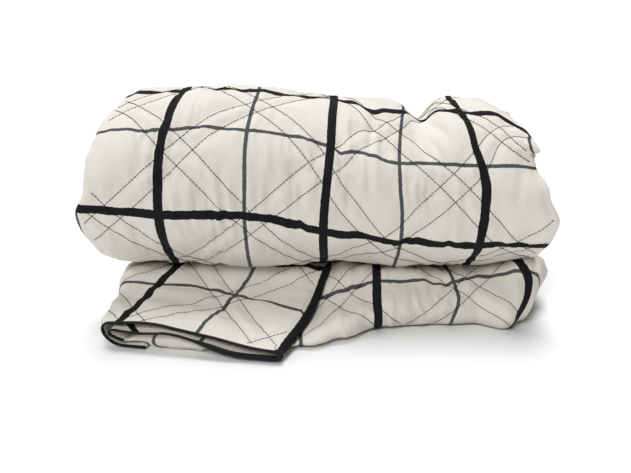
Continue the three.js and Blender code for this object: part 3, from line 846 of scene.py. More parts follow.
class PlyLine:
    """The middle line of the plies in every section, as columns of places across and depths"""

    def __init__(self, sections):
        self.sections = sections
        self.across = []
        self.depth = []
        self.marks = {}

    def mark(self, name):
        """Keeps the next column's number under a name"""
        self.marks[name] = len(self.across)

    def add(self, across, depth):
        self.across.append(np.broadcast_to(across, self.sections))
        self.depth.append(np.broadcast_to(depth, self.sections))

    def run(self, start, end, shares, depth):
        """A stretch with columns at shares of its length, at a depth that may depend on the place"""
        for share in shares:
            across = lerp(start, end, share)
            self.add(across, depth(across) if callable(depth) else depth)

    def fold(self, at, bulge, start, end, columns):
        """A fold between two depths that bulges sideways, round or by a function of its turn"""
        for k in range(columns):
            turn = math.pi * k / columns
            reach = bulge(turn) if callable(bulge) else bulge * math.sin(turn)
            self.add(at + reach, lerp(start, end, turned(turn)))

    def arrays(self):
        return np.stack(self.across, axis=1), np.stack(self.depth, axis=1)


def evenly(columns):
    """Shares of a stretch's length, up to but without its end"""
    return np.arange(columns) / columns


def backward(shares):
    """The same columns of a stretch that is run through from its end"""
    return [0] + [1 - share for share in reversed(shares[1:])]


def run_lengths(across, depth):
    """Lengths along a line in every section, from its first column"""
    lengths = np.hypot(np.diff(across, axis=1), np.diff(depth, axis=1)).cumsum(axis=1)
    return np.pad(lengths, ((0, 0), (1, 0)))


def beside(across, depth, lift):
    """A line moved sideways by its lift, toward smaller depths where it runs toward greater places"""
    run_across, run_depth = np.gradient(across, axis=1), np.gradient(depth, axis=1)
    length = np.hypot(run_across, run_depth)
    return across + run_depth / length * lift, depth - run_across / length * lift


def at_columns(values, columns):
    """A line's values at fractional columns"""
    low = np.minimum(columns.astype(int), values.shape[1] - 2)
    return lerp(values[:, low], values[:, low + 1], columns - low)


class Shell:
    """Points, faces and cloth measures of a mesh that is put together from sections"""

    def __init__(self):
        self.points = []
        self.maps = []
        self.faces = []
        self.count = 0

    def add_rows(self, points, maps):
        """Rows of points with their cloth measures. Returns the rows' point numbers."""
        rows, columns = points.shape[:2]
        numbers = self.count + np.arange(rows * columns).reshape(rows, columns)
        self.points.append(points.reshape(-1, 3))
        self.maps.append(maps.reshape(-1, 2))
        self.count += rows * columns
        return numbers

    def add_quads(self, rows, closed=False):
        """Faces between rows of point numbers, which may close round"""
        following = np.roll(rows, -1, axis=1)
        if not closed:
            rows, following = rows[:, :-1], following[:, :-1]
        quads = np.stack([rows[:-1], following[:-1], following[1:], rows[1:]], axis=-1)
        self.faces.extend(quads.reshape(-1, 4).tolist())

    def add_tube(self, points, maps):
        """Rows that close round, with a face over each end"""
        rows = self.add_rows(points, maps)
        self.add_quads(rows, closed=True)
        self.faces.append(rows[0][::-1].tolist())
        self.faces.append(rows[-1].tolist())

    def add_seam(self, fine, coarse, anchors):
        """Faces between a fine row and a coarse one whose points stand beside the fine row's anchors"""
        for k in range(len(coarse) - 1):
            side = fine[anchors[k] : anchors[k + 1] + 1][::-1].tolist()
            self.faces.append([int(coarse[k]), int(coarse[k + 1])] + side)

    def mesh(self, name):
        mesh = bpy.data.meshes.new(name)
        mesh.from_pydata((np.concatenate(self.points) * MM).tolist(), [], self.faces)
        corners = np.zeros(len(mesh.loops), np.int32)
        mesh.loops.foreach_get("vertex_index", corners)
        layer = mesh.uv_layers.new(name=CLOTH_MAP)
        layer.data.foreach_set("uv", (np.concatenate(self.maps)[corners] * MM).astype(np.float32).ravel())
        mesh.shade_smooth()
        return mesh


def outward(mesh):
    """Turns every face of a closed mesh outward"""
    edit = bmesh.new()
    edit.from_mesh(mesh)
    bmesh.ops.recalc_face_normals(edit, faces=edit.faces)
    edit.to_mesh(mesh)
    edit.free()


def linked(name, data):
    """A new object in the scene"""
    made = bpy.data.objects.new(name, data)
    bpy.context.collection.objects.link(made)
    return made


def new_piece(name, shell, material, node):
    """A piece of the bedspread, on the frame's body and in place of its solid"""
    mesh = shell.mesh(name)
    outward(mesh)
    mesh.materials.append(material)
    piece = linked(name, mesh)
    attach(piece, "root")
    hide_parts(node)
    return piece


# The roll


def strip_line(step):
    """The four plies in sections across the strip: the last one, the outer fold on the left, the outer ply,
    the right fold, the second ply, the inner fold and the third ply"""
    left, right = roll_end("left", step), roll_end("right", step)
    pitch = size("ply_pitch")
    depths = [size("ply") / 2 + k * pitch for k in range(4)]
    line = PlyLine(len(step))
    back_shares = backward(RUN_SHARES)
    line.run(right - FOURTH_EDGE_INSET, left + LEFT_FOLD_INSET, back_shares, depths[3])
    bulge = size("ply") / 2 - LEFT_FOLD_INSET
    line.fold(left + LEFT_FOLD_INSET, bulge, depths[3], depths[0], LEFT_FOLD_COLUMNS)
    first = len(line.across)
    line.run(left + LEFT_FOLD_INSET, right - RIGHT_FOLD_INSET, RUN_SHARES, depths[0])
    line.fold(right - RIGHT_FOLD_INSET, pitch / 2, depths[0], depths[1], TIGHT_FOLD_COLUMNS)
    line.run(right - RIGHT_FOLD_INSET, left + INNER_FOLD_INSET, back_shares, depths[1])
    line.fold(left + INNER_FOLD_INSET, -pitch / 2, depths[1], depths[2], TIGHT_FOLD_COLUMNS)
    line.run(left + INNER_FOLD_INSET, right - THIRD_EDGE_INSET, RUN_SHARES, depths[2])
    line.add(right - THIRD_EDGE_INSET, depths[2])
    return line.arrays(), first


def strip_faces(step, columns, relief):
    """The strip's outer and inner faces in sections at some steps: points and cloth measures"""
    (across, depth), first = strip_line(step)
    cloth = run_lengths(across, depth)
    cloth += (across[:, first] - cloth[:, first])[:, None]
    across_line = across
    last = first + len(RUN_SHARES)
    row = step[:, None]

    def place(across, depth, radius_lift, cloth, columns):
        points = roll_place(across, wound_angle(row, across), wound_radius(row) - depth + radius_lift)
        face = at_columns(across_line, np.clip(columns, first, last))
        cloth = cloth + cloth_across(face, wound_angle(row, face)) - face
        under = np.maximum(row - CHECK_UNDER_STEP, 0) * (CHECK_STEP_ALONG - CHECK_UNDER_ALONG)
        along = CHECK_STEP_ALONG * (row - GREY_STEP) + half_check()
        along = np.broadcast_to(along - np.minimum(under, CHECK_UNDER_MOST), cloth.shape)
        for jog in CHECK_JOGS:
            along = along + jog.shift * bell(across, jog.x, jog.reach_x) * bell(row, jog.step, jog.reach_step)
        return points, np.stack([cloth, along], axis=-1)

    outer_across, outer_depth = (at_columns(v, columns) for v in beside(across, depth, size("ply") / 2))
    lift = 0.0
    if relief:
        to_edge = np.minimum(outer_across - across[:, [first]], across[:, [last]] - outer_across)
        on_face = (columns >= first) & (columns <= last)
        lift = roll_relief(outer_across, row) * np.where(on_face, smoothstep(to_edge, 0, FACE_EDGE), 0)
    outer = place(outer_across, outer_depth, lift, at_columns(cloth, columns), columns)
    inner_across, inner_depth = beside(across, depth, -size("ply") / 2)
    inner = place(inner_across, inner_depth, 0.0, cloth, np.arange(cloth.shape[1], dtype=float))
    return outer, inner


def wound_strip():
    """The strip from where it leaves the roll to its core. Its outer turn has a fine face."""
    shell = Shell()
    (across, _), first = strip_line(np.zeros(1))
    count = across.shape[1]
    coarse = np.arange(count, dtype=float)
    runs = np.append(RUN_SHARES, 1)
    refined = first + np.interp(evenly(FACE_COLUMNS), runs, np.arange(len(runs)))
    apart = np.abs(refined[:, None] - coarse).min(axis=1) > COLUMN_GAP
    fine = np.sort(np.concatenate([coarse, refined[apart]]))
    anchors = np.searchsorted(fine, coarse)

    outer_steps = np.linspace(0, ROLL_STEPS, round(360 / ROW_DEGREES) + 1)
    row_step = INNER_ROW_DEGREES * ROLL_STEPS / 360
    inner_steps = np.arange(ROLL_STEPS + row_step, ROLL_CORE_STEP, row_step)
    outer, inside = strip_faces(outer_steps, fine, True)
    face = shell.add_rows(*outer)
    back = shell.add_rows(*inside)
    core_outer, core_inside = strip_faces(inner_steps, coarse, False)
    core_face = shell.add_rows(*core_outer)
    core_back = shell.add_rows(*core_inside)

    for rows in (face, back, core_face, core_back):
        shell.add_quads(rows)
    shell.add_seam(face[-1], core_face[0], anchors)
    shell.add_quads(np.stack([back[-1], core_back[0]]))
    ends = np.arange(count)
    shell.add_seam(face[0], back[0], anchors)
    shell.add_seam(core_face[-1], core_back[-1], ends)
    all_face = np.concatenate([face[:, [0, -1]], core_face[:, [0, -1]]])
    all_back = np.concatenate([back[:, [0, -1]], core_back[:, [0, -1]]])
    for edge in (0, 1):
        shell.add_quads(np.stack([all_face[:, edge], all_back[:, edge]], axis=1))
    return shell


# The stretch under the roll


def foot_swell(x, y):
    """How far the cloth is pressed up in front of the roll's foot"""
    return read_table(FOOT_SWELLS, "rise", x) * bell(y, FOOT_SWELL_Y, FOOT_SWELL_REACH)


def lower_nose(x):
    """Where the front fold starts, in front of the two layers"""
    return read_table(LOWER_SECTIONS, "front", x) + LOWER_NOSE


def lower_height(x, y):
    """Height of the two layers, which rise from the front fold toward the roll"""
    front = lower_nose(x)
    at_front = read_table(LOWER_SECTIONS, "front_height", x)
    at_roll = read_table(LOWER_SECTIONS, "height", x)
    risen = smoothstep(y, front, np.maximum(LOWER_ROLL_Y, front + LOWER_SLOPE_LEAST))
    swell = foot_swell(x, y) * smoothstep(x, LOWER_SWELL_FROM, LOWER_SWELL_FULL)
    return lerp(at_front, at_roll, risen) + swell


def lower_relief(x, along):
    """How far the quilting, the puckers and the wrinkles stand off the upper layer"""
    wrinkles = puckers(LOWER_PUCKERS, x, along)
    for row in LOWER_WRINKLES:
        wrinkles = wrinkles + wrinkled(row, x, along)
    quilting = quilt_relief(x - LOWER_SEAM_X, along - LOWER_SEAM_ALONG, LOWER_SEED)
    return quilting - size("puff") / 2 + wrinkles


def lower_level(x, y, level, layer):
    """Height of a level within the two layers, which draw together at the side edges"""
    to_edge = np.minimum(x - LOWER_SECTIONS[0].x, LOWER_SECTIONS[-1].x - x) / LOWER_EDGE
    fullness = lerp(LOWER_EDGE_HEIGHT, 1, np.sqrt(1 - (1 - np.clip(to_edge, 0, 1)) ** 2))
    return (layer + (level - layer) * fullness) * lower_height(x, y)


def lower_tuck(x, level):
    """How far a point of the right end is drawn in, more toward the floor"""
    return LOWER_TUCK * (1 - level) * smoothstep(x, LOWER_TUCK_FROM, LOWER_SECTIONS[-1].x)


def lower_face(x, along):
    """Points of the upper layer and of the front fold, by the cloth's length from the upper layer's back"""
    nose = lower_nose(x)
    to_nose = LOWER_UPPER_BACK - nose
    turn = math.pi * np.clip((along - to_nose) / LOWER_NOSE_ALONG, 0, 1)
    relief = lower_relief(x, along)
    reach = LOWER_NOSE + relief
    y = np.where(along < to_nose, LOWER_UPPER_BACK - along, nose - reach * np.sin(turn))
    level = 1 - turned(turn)
    z = lower_level(x, y, level, lerp(UNDER_LAYER, UPPER_LAYER, level))
    z = z + relief * np.clip(np.cos(turn), 0, 1)
    x, y, z = np.broadcast_arrays(x - lower_tuck(x, level), y, z)
    return np.stack([x, y, np.maximum(z, 0)], axis=-1)


def lower_stretch():
    """Sections from the upper layer's back, round the front fold, along the floor and through the slit"""
    shell = Shell()
    left, right = LOWER_SECTIONS[0].x, LOWER_SECTIONS[-1].x
    x = np.linspace(left, right, round((right - left) / LOWER_PITCH) + 1)[:, None]
    upper_back = LOWER_BACK_CUT * smoothstep(x, LOWER_BACK_CUT_FROM, right)
    nose_end = LOWER_UPPER_BACK - lower_nose(x) + LOWER_NOSE_ALONG
    along = lerp(upper_back, nose_end, np.linspace(0, 1, LOWER_COLUMNS)[None, :])
    front = lower_face(x, along)
    bands = read_columns(LOWER_WARPS, along)
    across = over_bands(x, bands) - half_check()
    from_grey = along - read_flowing(LOWER_ROWS, "grey", x)
    check_along = from_grey * LOWER_CHECK_SHARE + half_check()

    def hidden(y, level, layer):
        drawn_in = x - lower_tuck(x, level)
        points = np.stack(np.broadcast_arrays(drawn_in, y, lower_level(x, y, level, layer)), axis=-1)
        return points.reshape(len(x), 1, 3)

    nose = lower_nose(x)
    slit_end = nose + LAYER_SLIT_SHORT
    slit = np.linspace(0, 1, LAYER_SLIT_COLUMNS)
    back = [
        hidden(lerp(nose, LOWER_UNDER_BACK, 0.5), 0, UNDER_LAYER),
        hidden(LOWER_UNDER_BACK, 0, UNDER_LAYER),
        hidden(LOWER_UNDER_BACK + LOWER_UNDER_ROUND, UNDER_LAYER, UNDER_LAYER),
    ]
    for share in slit:
        back.append(hidden(lerp(LOWER_UNDER_BACK, slit_end, share), 0.5 - LAYER_SLIT / 2, UNDER_LAYER))
    for share in slit[::-1]:
        y = lerp(LOWER_UPPER_BACK - upper_back, slit_end, share)
        back.append(hidden(y, 0.5 + LAYER_SLIT / 2, UPPER_LAYER))
    points = np.concatenate([front, *back], axis=1)
    maps = np.zeros(points.shape[:2] + (2,))
    maps[:, : along.shape[1]] = np.stack([across, check_along], axis=-1)
    maps[:, along.shape[1] :, 0] = across[:, :1]
    maps[:, along.shape[1] :, 1] = check_along[:, -1:] + LOWER_HIDDEN_ALONG
    shell.add_tube(points, maps)
    return shell


# The loose end


def flap_along(across, share):
    """Distance from the root at a share of the way from under the roll to the hem"""
    start = (FLAP_ROOT_Y - FLAP_BACK + across * math.sin(FLAP_HEM_TURN)) / math.cos(FLAP_SIDE_TURN)
    return lerp(start, FLAP_LENGTH + FLAP_BOW * bell(across, FLAP_BOW_ACROSS, FLAP_BOW_REACH), share)


def flap_place(across, along, z):
    """Points of the loose end, by places to the left of its right edge and lengths toward the hem"""
    sway = FLAP_SWAY * smoothstep(along, FLAP_SWAY_FROM, FLAP_LENGTH)
    x = FLAP_ROOT_X - across * math.cos(FLAP_HEM_TURN) - along * math.sin(FLAP_SIDE_TURN) - sway
    y = FLAP_ROOT_Y + across * math.sin(FLAP_HEM_TURN) - along * math.cos(FLAP_SIDE_TURN)
    return np.stack(np.broadcast_arrays(x, y, z), axis=-1)


def flap_fold(along):
    """Where the left fold starts, across from the right edge"""
    drawn_in = FLAP_DRAW * smoothstep(along, FLAP_LENGTH - FLAP_DRAW_LENGTH, FLAP_LENGTH)
    return FLAP_FOLD + FLAP_SPREAD * bell(along, FLAP_SPREAD_ALONG, FLAP_SPREAD_REACH) - drawn_in


def flap_height(column, across, along):
    """Middle height of the top or second ply of the loose end"""
    hem_top, hem_second = read_columns(FLAP_HEM, across)
    x, y, _ = np.moveaxis(flap_place(across, along, 0.0), -1, 0)
    top = lerp(FLAP_ROLL_TOP, hem_top, smoothstep(along, FLAP_SLOPE_FROM, FLAP_LENGTH)) + foot_swell(x, y)
    if column == "top":
        return top
    opened = smoothstep(along, FLAP_LENGTH - FLAP_POCKET, FLAP_LENGTH)
    drop = lerp(FLAP_PLY_DROP, hem_top - hem_second, opened)
    return top - np.maximum(drop, 2 * ply_half(along) + FLAP_PLY_GAP)


def flap_relief(across, along):
    """How far the top ply's face stands above its half thickness"""
    raised = 1 - smoothstep(along, FLAP_FLAT_FROM * FLAP_LENGTH, FLAP_FLAT_FULL * FLAP_LENGTH)
    sewn_along = (along - FLAP_SEAM_ALONG) * FLAP_SEAM_STRETCH
    quilting = quilt_relief(across - FLAP_SEAM_ACROSS, sewn_along, FLAP_SEED)
    quilting = quilting + FLAP_PUCKER_SHARE * puckers(FLAP_PUCKERS, along, across)
    broad = wrinkled(FLAP_BROAD, across, along, drift=wrinkled(FLAP_DRIFT, across, along))
    fine = wrinkled(FLAP_FINE, across, along)
    wrinkles = (broad + fine) * calmed(FLAP_CALM, along) + creased(FLAP_CREASES, along, across)
    return quilting * raised + wrinkles * lerp(FLAP_FLAT_WRINKLES, 1, raised)


def fold_reach(turn):
    """How far the left fold reaches out at a turn from its underside, which stands back"""
    undercut = OUTER_FOLD_UNDERCUT * (1 - turned(turn))
    return OUTER_FOLD_BULGE * np.sin(turn) ** OUTER_FOLD_FULLNESS - undercut


def flap_face(across, along):
    """Points of the top ply's face, carried on round the left fold"""
    fold = flap_fold(along)
    turn = math.pi - np.clip((across - fold) / FOLD_CLOTH, 0, math.pi)
    flat = np.minimum(across, fold)
    top = flap_height("top", flat, along)
    z = lerp(OUTER_FOLD_HEIGHT, top, turned(turn))
    lift = ply_half(along) + flap_relief(across, along)
    reached = flat + fold_reach(turn) + lift * np.sin(turn)
    return flap_place(reached, along, z - lift * np.cos(turn))


def ply_half(along):
    """Half the ply's thickness, which the binding presses together at the hem"""
    return lerp(HEM_PLY, size("ply"), smoothstep(FLAP_LENGTH - along, 0, HEM_TAPER)) / 2


def flap_line(share):
    """The plies in sections across the loose end: the outer ply under the left fold, over the top to the
    right edge, back inside and into the inner ply's own fold. Depth is counted down from zero."""

    def down(column):
        return lambda across: -flap_height(column, across, flap_along(across, share))

    def crumpled(across):
        rumple = RUMPLE_RISE * (1 + soft_noise(across / RUMPLE_WIDTH, share * RUMPLE_ROWS, RUMPLE_SEED))
        rumple = rumple * smoothstep(share, RUMPLE_SHARE, 1) * smoothstep(across, RUMPLE_FROM, RUMPLE_FULL)
        return down("second")(across) + rumple * smoothstep(INNER_FOLD_TURN - across, 0, RUMPLE_FADE)

    def sloping(across):
        down_slope = (INNER_FOLD_TURN - across) / (INNER_FOLD_TURN - INNER_FOLD_FOOT)
        return lerp(inner_end, -INNER_FOLD_HEIGHT, down_slope)

    def bunched(across):
        swollen = smoothstep(INNER_FOLD_FOOT - across, 0, INNER_FOLD_START)
        return -lerp(INNER_FOLD_HEIGHT, bunch_middle(across), swollen)

    line = PlyLine(len(share))
    fold = flap_fold(flap_along(FLAP_FOLD, share))
    line.run(OUTER_FOLD_FROM, fold - OUTER_FOLD_UNDERCUT, evenly(OUTER_FOLD_RUN), -OUTER_FOLD_HEIGHT)
    line.fold(fold, fold_reach, -OUTER_FOLD_HEIGHT, down("top")(fold), FOLD_COLUMNS)
    line.mark("top")
    line.run(fold, 0, evenly(round(FLAP_FOLD / FLAP_COLUMN)), down("top"))
    line.mark("right")
    line.fold(0, -RIGHT_FOLD_BULGE, down("top")(0.0), down("second")(0.0), SMALL_FOLD_COLUMNS)
    line.run(0, INNER_FOLD_TURN, evenly(SECOND_COLUMNS), crumpled)
    inner_start = crumpled(INNER_FOLD_TURN)
    inner_end = inner_start + INNER_FOLD_DROP
    line.fold(INNER_FOLD_TURN, INNER_FOLD_BULGE, inner_start, inner_end, SMALL_FOLD_COLUMNS)
    line.mark("slope")
    line.run(INNER_FOLD_TURN, INNER_FOLD_FOOT, evenly(SLOPE_COLUMNS), sloping)
    line.mark("third")
    line.run(INNER_FOLD_FOOT, INNER_FOLD_FROM, evenly(BUNCH_COLUMNS), bunched)
    line.add(INNER_FOLD_FROM, bunched(INNER_FOLD_FROM))
    return line


def bunch_sides(across):
    """Lowest and highest place of the third ply, which is bunched up between the hem's plies"""
    low = lerp(BUNCH_FLOOR, BUNCH_OVER_PLY, smoothstep(across, OUTER_FOLD_FROM - BUNCH_STEP, OUTER_FOLD_FROM))
    high = read_flowing(FLAP_HEM, "second", across) - HEM_PLY / 2 - BUNCH_UNDER_HEM
    return low, np.maximum(high, low + BUNCH_LEAST)


def bunch_middle(across):
    """Middle height of the bunched third ply"""
    low, high = bunch_sides(across)
    return (low + high) / 2


def bunch_half(across, along):
    """Half the third ply's thickness, rounded off at its front and crumpled"""
    low, high = bunch_sides(across)
    opened = smoothstep(along, BUNCH_OPEN_FROM * FLAP_LENGTH, BUNCH_OPEN_FULL * FLAP_LENGTH)
    opened = opened * smoothstep(INNER_FOLD_FOOT - across, 0, INNER_FOLD_START)
    half = lerp(size("ply") / 2, (high - low) / 2, opened)
    to_front = np.clip((along - FLAP_LENGTH + BUNCH_NOSE) / BUNCH_NOSE, 0, 1)
    crumples = 1
    for row in BUNCH_CRUMPLES:
        crumples = crumples + wrinkled(row, across, along)
    return half * np.sqrt(BUNCH_NOSE_FULLNESS - to_front**2) * crumples


def flap_sides(share, proud=0.0, beyond=0.0, face=True):
    """Both faces of the loose end's ply, at some shares of the way to the hem and a distance beyond.
    The face's relief is left out of a tape that is laid over the hem."""
    line = flap_line(share)
    across, depth = line.arrays()
    top, right, slope, third = (line.marks[name] for name in ("top", "right", "slope", "third"))
    row = share[:, None]
    along = flap_along(across, row)
    cloth = run_lengths(across, depth)
    cloth = cloth[:, [right]] - cloth
    bands = read_columns(FLAP_WARPS, along)
    cloth = over_bands(cloth, bands)
    black, grey = read_columns(FLAP_CHECK_ROWS, across)
    half = ply_half(along) + proud
    if not face:
        rolled = HEM_ROLL * (1 - smoothstep(across, HEM_ROLL_ACROSS - HEM_ROLL_FADE, HEM_ROLL_ACROSS))
        half[:, right:third] += rolled[:, right:third]
    half[:, third:] = bunch_half(across[:, third:], along[:, third:])
    standing_out = FLAP_SECOND_OUT * smoothstep(across, FLAP_SECOND_OUT_FROM, FLAP_SECOND_OUT_FULL)
    standing_out = standing_out * smoothstep(row, FLAP_SECOND_OUT_SHARE, 1)
    standing_out[:, :right] = 0
    standing_out[:, slope:] *= smoothstep(across[:, slope:], INNER_FOLD_FOOT, INNER_FOLD_TURN)
    lift = half.copy()
    if face:
        lift[:, top:right] += flap_relief(across[:, top:right], along[:, top:right])
        turn = math.pi * (1 - np.arange(FOLD_COLUMNS) / FOLD_COLUMNS)
        fold = slice(top - FOLD_COLUMNS, top)
        lift[:, fold] += flap_relief(across[:, [top]] + FOLD_CLOTH * turn, along[:, fold])
    sides = []
    for amount in (lift, -half):
        # Places count to the left here, so the line is moved the other way.
        side_across, side_depth = beside(across, -depth, amount)
        side_along = flap_along(side_across, row) + beyond + standing_out
        points = flap_place(side_across, side_along, np.maximum(side_depth, FLAP_FLOOR_GAP))
        to_grey = np.minimum((side_along - black) / (grey - black), 1)
        check_along = to_grey * half_check() + np.maximum(side_along - grey, 0)
        sides.append((points, np.stack([cloth, check_along], axis=-1)))
    return sides, line.marks


def ply_shell(sides):
    """A closed shell between the two faces of a ply"""
    shell = Shell()
    face, back = (shell.add_rows(*side) for side in sides)
    shell.add_quads(face)
    shell.add_quads(back)
    for edge in (0, -1):
        shell.add_quads(np.stack([face[:, edge], back[:, edge]], axis=1))
        shell.add_quads(np.stack([face[edge], back[edge]]))
    return shell


def loose_end():
    """The plies of the loose end, from under the roll to the hem"""
    share = 1 - np.linspace(1, 0, FLAP_ROWS + 1) ** FLAP_ROW_POWER
    return ply_shell(flap_sides(share)[0])


def hem_binding():
    """The tape folded over the hem, from the outer ply's edge to the slope under the inner fold"""
    rings = []
    for ring in BINDING_RINGS:
        sides, marks = flap_sides(np.ones(1), ring.proud, ring.beyond, face=False)
        rings.append(sides)
    end = marks["third"]
    sides = []
    for side in (0, 1):
        points = np.concatenate([ring[side][0][:, :end] for ring in rings])
        maps = np.concatenate([ring[side][1][:, :end] for ring in rings])
        sides.append((points, maps))
    return ply_shell(sides)


# The quilting stitches


def seam_stitches(reach, inside):
    """Both ends of the stitches on every seam within a reach, in the flat cloth's measures"""
    pitch, pair = size("quilt_pitch"), size("seam_pair")
    count = math.ceil(2 * reach / pitch)
    starts, ends = [], []
    for slant in (1, -1):
        for k in range(-count, count + 1):
            for side in (-1, 1):
                offset = k * pitch + side * pair / 2
                run = np.arange(-2 * reach, 2 * reach, STITCH_PITCH)
                start = offset / 2 + run / math.sqrt(2)
                end = start + STITCH_LENGTH / math.sqrt(2)
                starts.append(np.stack([start, slant * (offset - start)], axis=-1))
                ends.append(np.stack([end, slant * (offset - end)], axis=-1))
    start, end = np.concatenate(starts), np.concatenate(ends)
    kept = inside(start[:, 0], start[:, 1]) & inside(end[:, 0], end[:, 1])
    return start[kept], end[kept]


def surface_of(piece):
    """A search tree over a piece's faces"""
    corners = [vertex.co for vertex in piece.data.vertices]
    return BVHTree.FromPolygons(corners, [face.vertices for face in piece.data.polygons])


def seated(surface, points):
    """The nearest places on a surface, and which way it faces there"""
    found = [surface.find_nearest(point) for point in (points * MM).tolist()]
    return np.array([hit[0] for hit in found]) / MM, np.array([hit[1] for hit in found])


def add_stitches(shell, surface, face, start, end):
    """Short rounded threads that rise from the cloth and go back in"""
    radius = size("thread") / 2
    rings = []
    for share, lift, width in STITCH_RINGS:
        flat_place = face(*lerp(start, end, share).T)
        run = face(*lerp(start, end, share + STITCH_AHEAD).T) - flat_place
        middle, normal = seated(surface, flat_place)
        flat = np.cross(run, normal)
        flat /= np.linalg.norm(flat, axis=1, keepdims=True)
        turns = 2 * np.pi * np.arange(STITCH_SIDES)[None, :, None] / STITCH_SIDES
        round_it = np.cos(turns) * normal[:, None] + np.sin(turns) * flat[:, None]
        rings.append((middle + lift * normal)[:, None] + radius * width * round_it)
    for tube in np.stack(rings, axis=1):
        shell.add_tube(tube, np.zeros(tube.shape[:2] + (2,)))


def sewn_on_roll(across, along):
    """Which points of the flat cloth, counted from a crossing of the seams, are sewn on the roll"""
    step = SEAM_STEP + along / SEAM_STEP_ALONG
    x = roll_x(across, step)
    left, right = roll_end("left", step) + ROLL_SEAM_LEFT, roll_end("right", step) - ROLL_SEAM_RIGHT
    return (step > ROLL_SEAM_STEPS) & (step < ROLL_STEPS - ROLL_SEAM_STEPS) & (x > left) & (x < right)


def on_lower(across, along):
    """Points of the flat cloth in the lower stretch's own measures"""
    return across + LOWER_SEAM_X, along + LOWER_SEAM_ALONG


def sewn_on_lower(across, along):
    """Which of them are sewn on the lower stretch"""
    x, length = on_lower(across, along)
    front = LOWER_UPPER_BACK - lower_nose(x)
    between_sides = (x > LOWER_SEAM_LEFT) & (x < LOWER_SECTIONS[-1].x - LOWER_SEAM_RIGHT)
    return between_sides & (length > LOWER_SEAM_BACK) & (length < front + LOWER_SEAM_ROUND)


def on_flap(across, along):
    """Points of the flat cloth in the loose end's own measures"""
    return across + FLAP_SEAM_ACROSS, along / FLAP_SEAM_STRETCH + FLAP_SEAM_ALONG


def sewn_on_flap(across, along):
    """Which of them are sewn on the loose end"""
    place, length = on_flap(across, along)
    between_sides = (place > FLAP_SEAM_RIGHT) & (place < flap_fold(length) + FLAP_SEAM_ROUND)
    return between_sides & (length > FLAP_SEAM_BACK) & (length < FLAP_LENGTH - FLAP_SEAM_HEM)


SewnArea = namedtuple("SewnArea", "piece reach inside face")
SEWN_AREAS = (
    SewnArea("wound_strip", ROLL_SEAM_REACH, sewn_on_roll, roll_face),
    SewnArea("lower_stretch", LOWER_SEAM_REACH, sewn_on_lower, lambda *flat: lower_face(*on_lower(*flat))),
    SewnArea("loose_end", FLAP_SEAM_REACH, sewn_on_flap, lambda *flat: flap_face(*on_flap(*flat))),
)


# Materials

PRINT_WOBBLE = 0.0012  # how far the bands' edges wander, in metres
PRINT_WOBBLE_SCALE = 260
PRINT_EDGE = 0.00025  # half the width of their soft edges
SLUB_SCALE = 900  # of the threads' uneven thickness, drawn out along them
SLUB_STRETCH = (1.0, 0.12, 1.0)
CLOUD_SCALE = 14  # of the broad unevenness of tone
WEAVE_DETAIL = 3
THREAD_RISE = 0.35  # height of the crossing threads beside their uneven thickness
WEAVE_DEPTH = 0.0003
WEAVE_ROUGHNESS = 0.8
SLUB_ROUGHNESS = 0.12
SHEEN_ROUGHNESS = 0.6
COTTON_SPECULAR = 0.15

Finish = namedtuple("Finish", "thread_pitch unevenness bump sheen")
COTTON_FINISH = Finish(0.0006, 0.06, 0.25, 0.02)
TAPE_FINISH = Finish(0.0007, 0.2, 0.5, 0.03)
THREAD_FINISH = Finish(0.0003, 0.2, 0.3, 0.0)


def new_group(name, inputs, outputs):
    """A shader node group with named sockets. Returns it with its input and output nodes."""
    group = bpy.data.node_groups.new(name, "ShaderNodeTree")
    for socket, kind, default in inputs:
        made = group.interface.new_socket(name=socket, in_out="INPUT", socket_type=kind)
        made.default_value = default
    for socket, kind in outputs:
        group.interface.new_socket(name=socket, in_out="OUTPUT", socket_type=kind)
    return group, group.nodes.new("NodeGroupInput"), group.nodes.new("NodeGroupOutput")


def connect(tree, value, socket):
    """Links a node's output, or sets a plain value"""
    if isinstance(value, bpy.types.NodeSocket):
        tree.links.new(value, socket)
    else:
        socket.default_value = value


def maths(tree, operation, *values):
    node = tree.nodes.new("ShaderNodeMath")
    node.operation = operation
    for k, value in enumerate(values):
        connect(tree, value, node.inputs[k])
    return node.outputs[0]


def mixed(tree, share, first, second):
    node = tree.nodes.new("ShaderNodeMix")
    node.data_type = "RGBA"
    connect(tree, share, node.inputs["Factor"])
    connect(tree, first, node.inputs[6])
    connect(tree, second, node.inputs[7])
    return node.outputs[2]


def noise(tree, place, scale, detail):
    node = tree.nodes.new("ShaderNodeTexNoise")
    connect(tree, place, node.inputs["Vector"])
    node.inputs["Scale"].default_value = scale
    node.inputs["Detail"].default_value = detail
    return node.outputs["Fac"]


def cloth_place(tree):
    node = tree.nodes.new("ShaderNodeUVMap")
    node.uv_map = CLOTH_MAP
    return node.outputs["UV"]


def parted(tree, place):
    node = tree.nodes.new("ShaderNodeSeparateXYZ")
    tree.links.new(place, node.inputs[0])
    return node.outputs[0], node.outputs[1]


